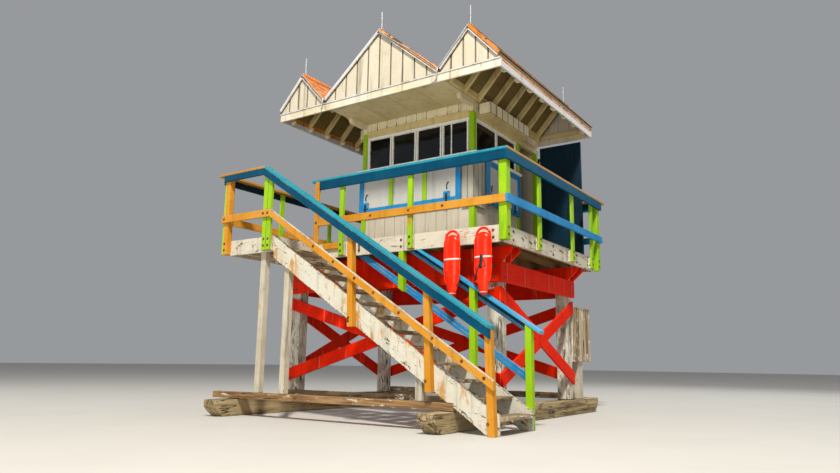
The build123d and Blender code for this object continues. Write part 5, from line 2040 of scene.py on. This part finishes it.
@dataclass
class RescueCans:
    """Two moulded cans with side grips, an end grip and their straps."""

    length: float = 0.94
    width: float = 0.27
    thick: float = 0.13
    body: float = 0.234
    grip: float = 0.0105
    grip_span: tuple[float, float] = (0.17, 0.7)
    handle: float = 0.018
    handle_reach: float = 0.104
    handle_rise: float = 0.125
    band: float = 0.55
    tab: float = 0.05
    dome: float = 0.925
    webbing: float = 0.005

    def build(self) -> list[Object]:
        """Builds both cans on their cleats.

        Returns:
            The pieces.
        """
        low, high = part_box("rescue_cans")
        made = Joinery("can_cleats", GREY).build()
        shells, straps, harness = bmesh.new(), bmesh.new(), bmesh.new()
        middle = (low + high) / 2
        for x in (low.x + self.width / 2, high.x - self.width / 2):
            centre = Vector((x, middle.y, middle.z))
            self.shell(shells, centre)
            self.grips(shells, centre)
            self.bands(straps, centre)
        self.harness(harness, centre)
        for name, solid, finish, stands in (("rescue_cans.shells", shells, CAN_RED, ("rescue_cans",)),
                                            ("rescue_cans.straps", straps, CAN_STRAP, ()),
                                            ("rescue_cans.harness", harness, CAN_BLACK, ())):
            bmesh.ops.recalc_face_normals(solid, faces=solid.faces)
            data = bpy.data.meshes.new(name)
            solid.to_mesh(data)
            solid.free()
            data.materials.append(finish.material())
            data.polygons.foreach_set("use_smooth", [True] * len(data.polygons))
            made.append(settle(name, data, stands_for=stands))
        return made

    def half(self, t: float) -> float:
        """Shapes the float's outline.

        Args:
            t: Share of its length, from foot to head.

        Returns:
            Its half width there.
        """
        taper = 0.44 + 0.56 * math.sin(math.pi / 2 * min(1.0, t / 0.48))
        foot = math.sqrt(max(0.0, 1.0 - (1.0 - min(1.0, t / 0.08)) ** 2))
        head = math.sqrt(max(0.0, 1.0 - max(0.0, (t - self.dome + 0.12) / 0.12) ** 2))
        return self.body / 2 * taper * foot * head

    def shell(self, mesh: BMesh, centre: Vector) -> None:
        """Lofts the float from oval rings.

        Args:
            mesh: Where it goes.
            centre: Middle of the can.
        """
        rings = 34
        levels = [0.004 + (self.dome - 0.008) * (0.5 - 0.5 * math.cos(math.pi * i / (rings - 1)))
            for i in range(rings)]
        loops = []
        for t in levels:
            wide = max(0.004, self.half(t))
            deep = (self.thick / 2 - 0.002) * min(1.0, (wide / (self.body / 2)) ** 0.8)
            z = centre.z - self.length / 2 + self.length * t
            loops.append(oval(mesh, Vector((centre.x, centre.y, z)), wide, deep))
        skin(mesh, loops)

    def grips(self, mesh: BMesh, centre: Vector) -> None:
        """Adds the loop over the head and the two side grips.

        Args:
            mesh: Where they go.
            centre: Middle of the can.
        """
        top = centre.z + self.length / 2
        radius, reach, rise = self.handle, self.handle_reach, self.handle_rise
        arch = [Vector((centre.x + reach * math.cos(a), centre.y, top - rise + (rise - radius) * math.sin(a)))
                for a in (math.pi * k / 16 for k in range(17))]
        ends = [Vector((centre.x + s * (reach + 0.003), centre.y, top - rise - 0.06)) for s in (1, -1)]
        sweep(mesh, [ends[0]] + arch + [ends[1]], radius, 12)
        base = centre.z - self.length / 2
        for side in (-1, 1):
            path = []
            for k in range(21):
                t = self.grip_span[0] + self.grip_span[1] * k / 20
                lift = 0.017 * min(1.0, 3.0 * math.sin(math.pi * k / 20)) - 0.006
                out = min(self.half(t) + lift, self.width / 2 - self.grip)
                path.append(Vector((centre.x + side * out, centre.y - 0.01, base + self.length * t)))
            sweep(mesh, path, self.grip, 8)

    def bands(self, mesh: BMesh, centre: Vector) -> None:
        """Adds the webbing round the float and its grips, and the tab at its foot.

        Args:
            mesh: Where it goes.
            centre: Middle of the can.
        """
        base = centre.z - self.length / 2
        for t, wide, deep, tall in ((self.band, self.width / 2 - 0.0035, self.thick / 2 - 0.001, 0.012),
                                    (self.tab, 0.057, 0.037, 0.007)):
            rings = ((-tall, -0.004), (-tall, 0.0), (tall, 0.0), (tall, -0.004))
            loops = [oval(mesh, Vector((centre.x, centre.y, base + self.length * t + dz)), wide + grow,
                deep + grow) for dz, grow in rings]
            bridge(mesh, loops + loops[:1])

    def harness(self, mesh: BMesh, centre: Vector) -> None:
        """Adds the dark harness straps that are tucked under the band of one can.

        Args:
            mesh: Where they go.
            centre: Middle of the can.
        """
        base = centre.z - self.length / 2
        face = centre.y - self.thick / 2 + 0.006
        for path, wide in ((((0.005, self.band + 0.035), (0.0, 0.5), (-0.012, 0.42), (-0.006, 0.385)), 0.046),
                           (((-0.02, 0.44), (-0.06, 0.36), (-0.095, 0.29), (-0.118, 0.215)), 0.03),
                           (((0.03, 0.5), (0.055, 0.43), (0.045, 0.4)), 0.022)):
            loops = []
            for dx, t in path:
                out = face + 0.05 * min(1.0, abs(dx) / 0.13) ** 2 - 0.003
                at = Vector((centre.x + dx, out, base + self.length * t))
                loops.append([mesh.verts.new(at + Vector((a * wide / 2, b * self.webbing / 2, 0.0))) for a,
                    b in SQUARE])
            skin(mesh, loops)


def circle(around: int) -> list[tuple[float, float]]:
    """Gives the cosine and the sine of equal steps round a circle."""
    return [(math.cos(a), math.sin(a)) for a in (2 * math.pi * k / around for k in range(around))]


def oval(mesh: BMesh, centre: Vector, wide: float, deep: float) -> list[BMVert]:
    """Lays a level oval ring of 28 corners, by its half width and half depth, and gives them."""
    return [mesh.verts.new((centre.x + wide * c, centre.y + deep * s, centre.z)) for c, s in circle(28)]


def bridge(mesh: BMesh, loops: Sequence[list[BMVert]]) -> None:
    """Skins the gaps between rings of equally many corners.

    Args:
        mesh: Where the faces go.
        loops: The rings in order.
    """
    for one, other in zip(loops, loops[1:]):
        for k in range(len(one)):
            j = (k + 1) % len(one)
            mesh.faces.new((one[k], one[j], other[j], other[k]))


def skin(mesh: BMesh, loops: Sequence[list[BMVert]]) -> None:
    """Skins the gaps between rings and closes both ends.

    Args:
        mesh: Where the faces go.
        loops: The rings in order.
    """
    bridge(mesh, loops)
    mesh.faces.new(loops[0][::-1])
    mesh.faces.new(loops[-1])


def sweep(mesh: BMesh, path: Sequence[Vector], radius: float, around: int) -> None:
    """Sweeps a round bar along a path, with closed ends.

    Args:
        mesh: Where the bar goes.
        path: Points on its middle line.
        radius: Its radius.
        around: Corners of its section.
    """
    loops = []
    normal = None
    for index, point in enumerate(path):
        before, after = path[max(0, index - 1)], path[min(len(path) - 1, index + 1)]
        along = (after - before).normalized()
        if normal is None:
            normal = along.orthogonal().normalized()
        normal = (normal - along * normal.dot(along)).normalized()
        other = along.cross(normal)
        loops.append([mesh.verts.new(point + (normal * c + other * s) * radius) for c, s in circle(around)])
    skin(mesh, loops)


@dataclass
class SlattedBox:
    """The open box with upright slats behind the rear right leg."""

    slats: int = 6
    end: float = 0.049
    # Thickness of the near-black sheet of painted shade inside the box.
    shade_sheet: float = 0.012
    front_slats: int = 4
    slat_gap: tuple[float, float] = (0.008, 0.02)
    front_faces: tuple[float, float] = (0.02, 0.004)

    def build(self) -> list[Object]:
        """Dresses the box, sets near-black sheets in it as painted shade for its inside, and boards its front.

        Returns:
            The pieces.
        """
        low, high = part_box("slatted_box")
        pitch = (high.y - low.y - 2 * self.end) / self.slats
        levels = [low.y + self.end + pitch * i for i in range(self.slats + 1)]
        parts = [part for solid in solids_of("slatted_box") for part in split(solid, Y, levels)]
        made = Joinery("slatted_box", lambda a, b: BOX_TIMBER if b.y > high.y - 0.01 or a.y < low.y + 0.01
            else SLAT, grain=Z).build(parts)
        shade_sheet, boards = Stack("slatted_box_painted_shade", BOX_PAINTED_SHADE), Stack("slatted_box_front", BOX_TIMBER)
        # Near-black sheets of painted shade: one along the box's inside, one just behind the front slats.
        shade_sheet.block((low.x + 0.024, low.y + 0.04, low.z + 0.03),
                     (low.x + 0.024 + self.shade_sheet, high.y - 0.04, high.z - 0.05), 0.001, Z)
        shade_sheet.block((low.x + 0.006, low.y - 0.004, low.z + 0.03),
            (high.x - 0.006, low.y - 0.0002, high.z - 0.03), 0.001, Z)
        wide = (high.x - low.x) / self.front_slats
        front, rear = (low.y - off for off in self.front_faces)
        for index in range(self.front_slats):
            x = low.x + wide * index + self.slat_gap[0]
            boards.block((x, front, low.z), (x + wide - self.slat_gap[1], rear, high.z), 0.002, Z)
        return made + [shade_sheet.build(), boards.build()]


@dataclass
class Studio:
    """The camera of the photograph's view, soft lights and a plain pale floor."""

    place: tuple[float, float, float] = (6.1265, -9.426, 0.825)
    yaw: float = 34.05
    pitch: float = 10.6
    roll: float = 0.81
    lens: float = 28.81
    floor_reach: float = 90.0

    def build(self) -> None:
        """Sets up the camera, the lights and the floor."""
        self.camera()
        self.lights()
        self.floor()

    def camera(self) -> None:
        """Places the camera."""
        yaw, pitch, roll = (math.radians(a) for a in (self.yaw, self.pitch, self.roll))
        forward = Vector((-math.sin(yaw) * math.cos(pitch), math.cos(yaw) * math.cos(pitch), math.sin(pitch)))
        right = forward.cross(Z).normalized()
        up = right.cross(forward)
        turned = right * math.cos(roll) + up * math.sin(roll)
        top = up * math.cos(roll) - right * math.sin(roll)
        data = bpy.data.cameras.new("Camera")
        data.lens, data.sensor_width = self.lens, 36.0
        camera = bpy.data.objects.new("Camera", data)
        bpy.context.scene.collection.objects.link(camera)
        matrix = Matrix((turned, top, -forward)).transposed().to_4x4()
        matrix.translation = Vector(self.place)
        camera.matrix_world = matrix
        bpy.context.scene.camera = camera

    def area(self, name: str, at: Vector, size: float, power: float, colour: Colour) -> None:
        """Hangs a soft light that looks at the tower's middle.

        Args:
            name: The light's name.
            at: Where it hangs.
            size: Its width in metres.
            power: Its power in watts.
            colour: Its colour.
        """
        data = bpy.data.lights.new(name, "AREA")
        data.shape, data.size, data.energy, data.color = "SQUARE", size, power, colour
        lamp = bpy.data.objects.new(name, data)
        lamp.rotation_mode = "QUATERNION"
        lamp.location = at
        lamp.rotation_quaternion = (Vector((0.0, 0.0, 3.0)) - at).to_track_quat("-Z", "Y")
        bpy.context.scene.collection.objects.link(lamp)

    def lights(self) -> None:
        """Hangs the key, fill, low front and rear lights under an even pale sky, and shows plain colours."""
        bpy.context.scene.view_settings.view_transform = "Standard"
        self.area("Key", Vector((8.5, -13.5, 20.0)), 2.2, 7200.0, (1.0, 0.96, 0.88))
        self.area("Fill", Vector((-14.0, -9.0, 8.0)), 9.0, 420.0, (0.92, 0.96, 1.0))
        self.area("Low front", Vector((4.0, -14.5, 2.8)), 5.0, 420.0, (1.0, 0.94, 0.82))
        self.area("Rear", Vector((4.0, 15.0, 12.0)), 8.0, 900.0, (0.95, 0.97, 1.0))
        world = bpy.data.worlds.new("Sky")
        bpy.context.scene.world = world
        world.use_nodes = True
        back = world.node_tree.nodes.get("Background")
        back.inputs["Color"].default_value = (0.86, 0.89, 0.93, 1.0)
        back.inputs["Strength"].default_value = 0.36

    def floor(self) -> None:
        """Lays the pale floor."""
        data = bpy.data.meshes.new("floor")
        r = self.floor_reach
        data.from_pydata([(-r, -r, 0.0), (r, -r, 0.0), (r, r, 0.0), (-r, r, 0.0)], [], [(0, 1, 2, 3)])
        made = bpy.data.materials.new("Pale floor")
        made.use_nodes = True
        w = Wiring(made.node_tree)
        shader = made.node_tree.nodes["Principled BSDF"]
        w.put(shader.inputs["Base Color"], w.mix(w.noise(w.place(), 0.8, 3.0), (0.52, 0.5, 0.46),
            (0.58, 0.56, 0.52)))
        shader.inputs["Roughness"].default_value = 0.9
        data.materials.append(made)
        floor = bpy.data.objects.new("floor", data)
        bpy.context.scene.collection.objects.link(floor)


def main() -> None:
    """Builds the tower's sub-assemblies in order, then the studio."""
    logging.basicConfig(level=logging.INFO, format="%(message)s")
    assemblies = (GroundWorks(), RedFrame(), Deck(), Stair(), Guard(), Hut(), Windows(), Shutters(), Door(),
        Roof(), LightningGuard(), RescueCans(), SlattedBox(), FASTENINGS)
    for assembly in assemblies:
        for piece in assembly.build():
            log.info("%s: %s, %d faces", type(assembly).__name__, piece.name, len(piece.data.polygons))
    Studio().build()


if __name__ == "__main__":
    main()
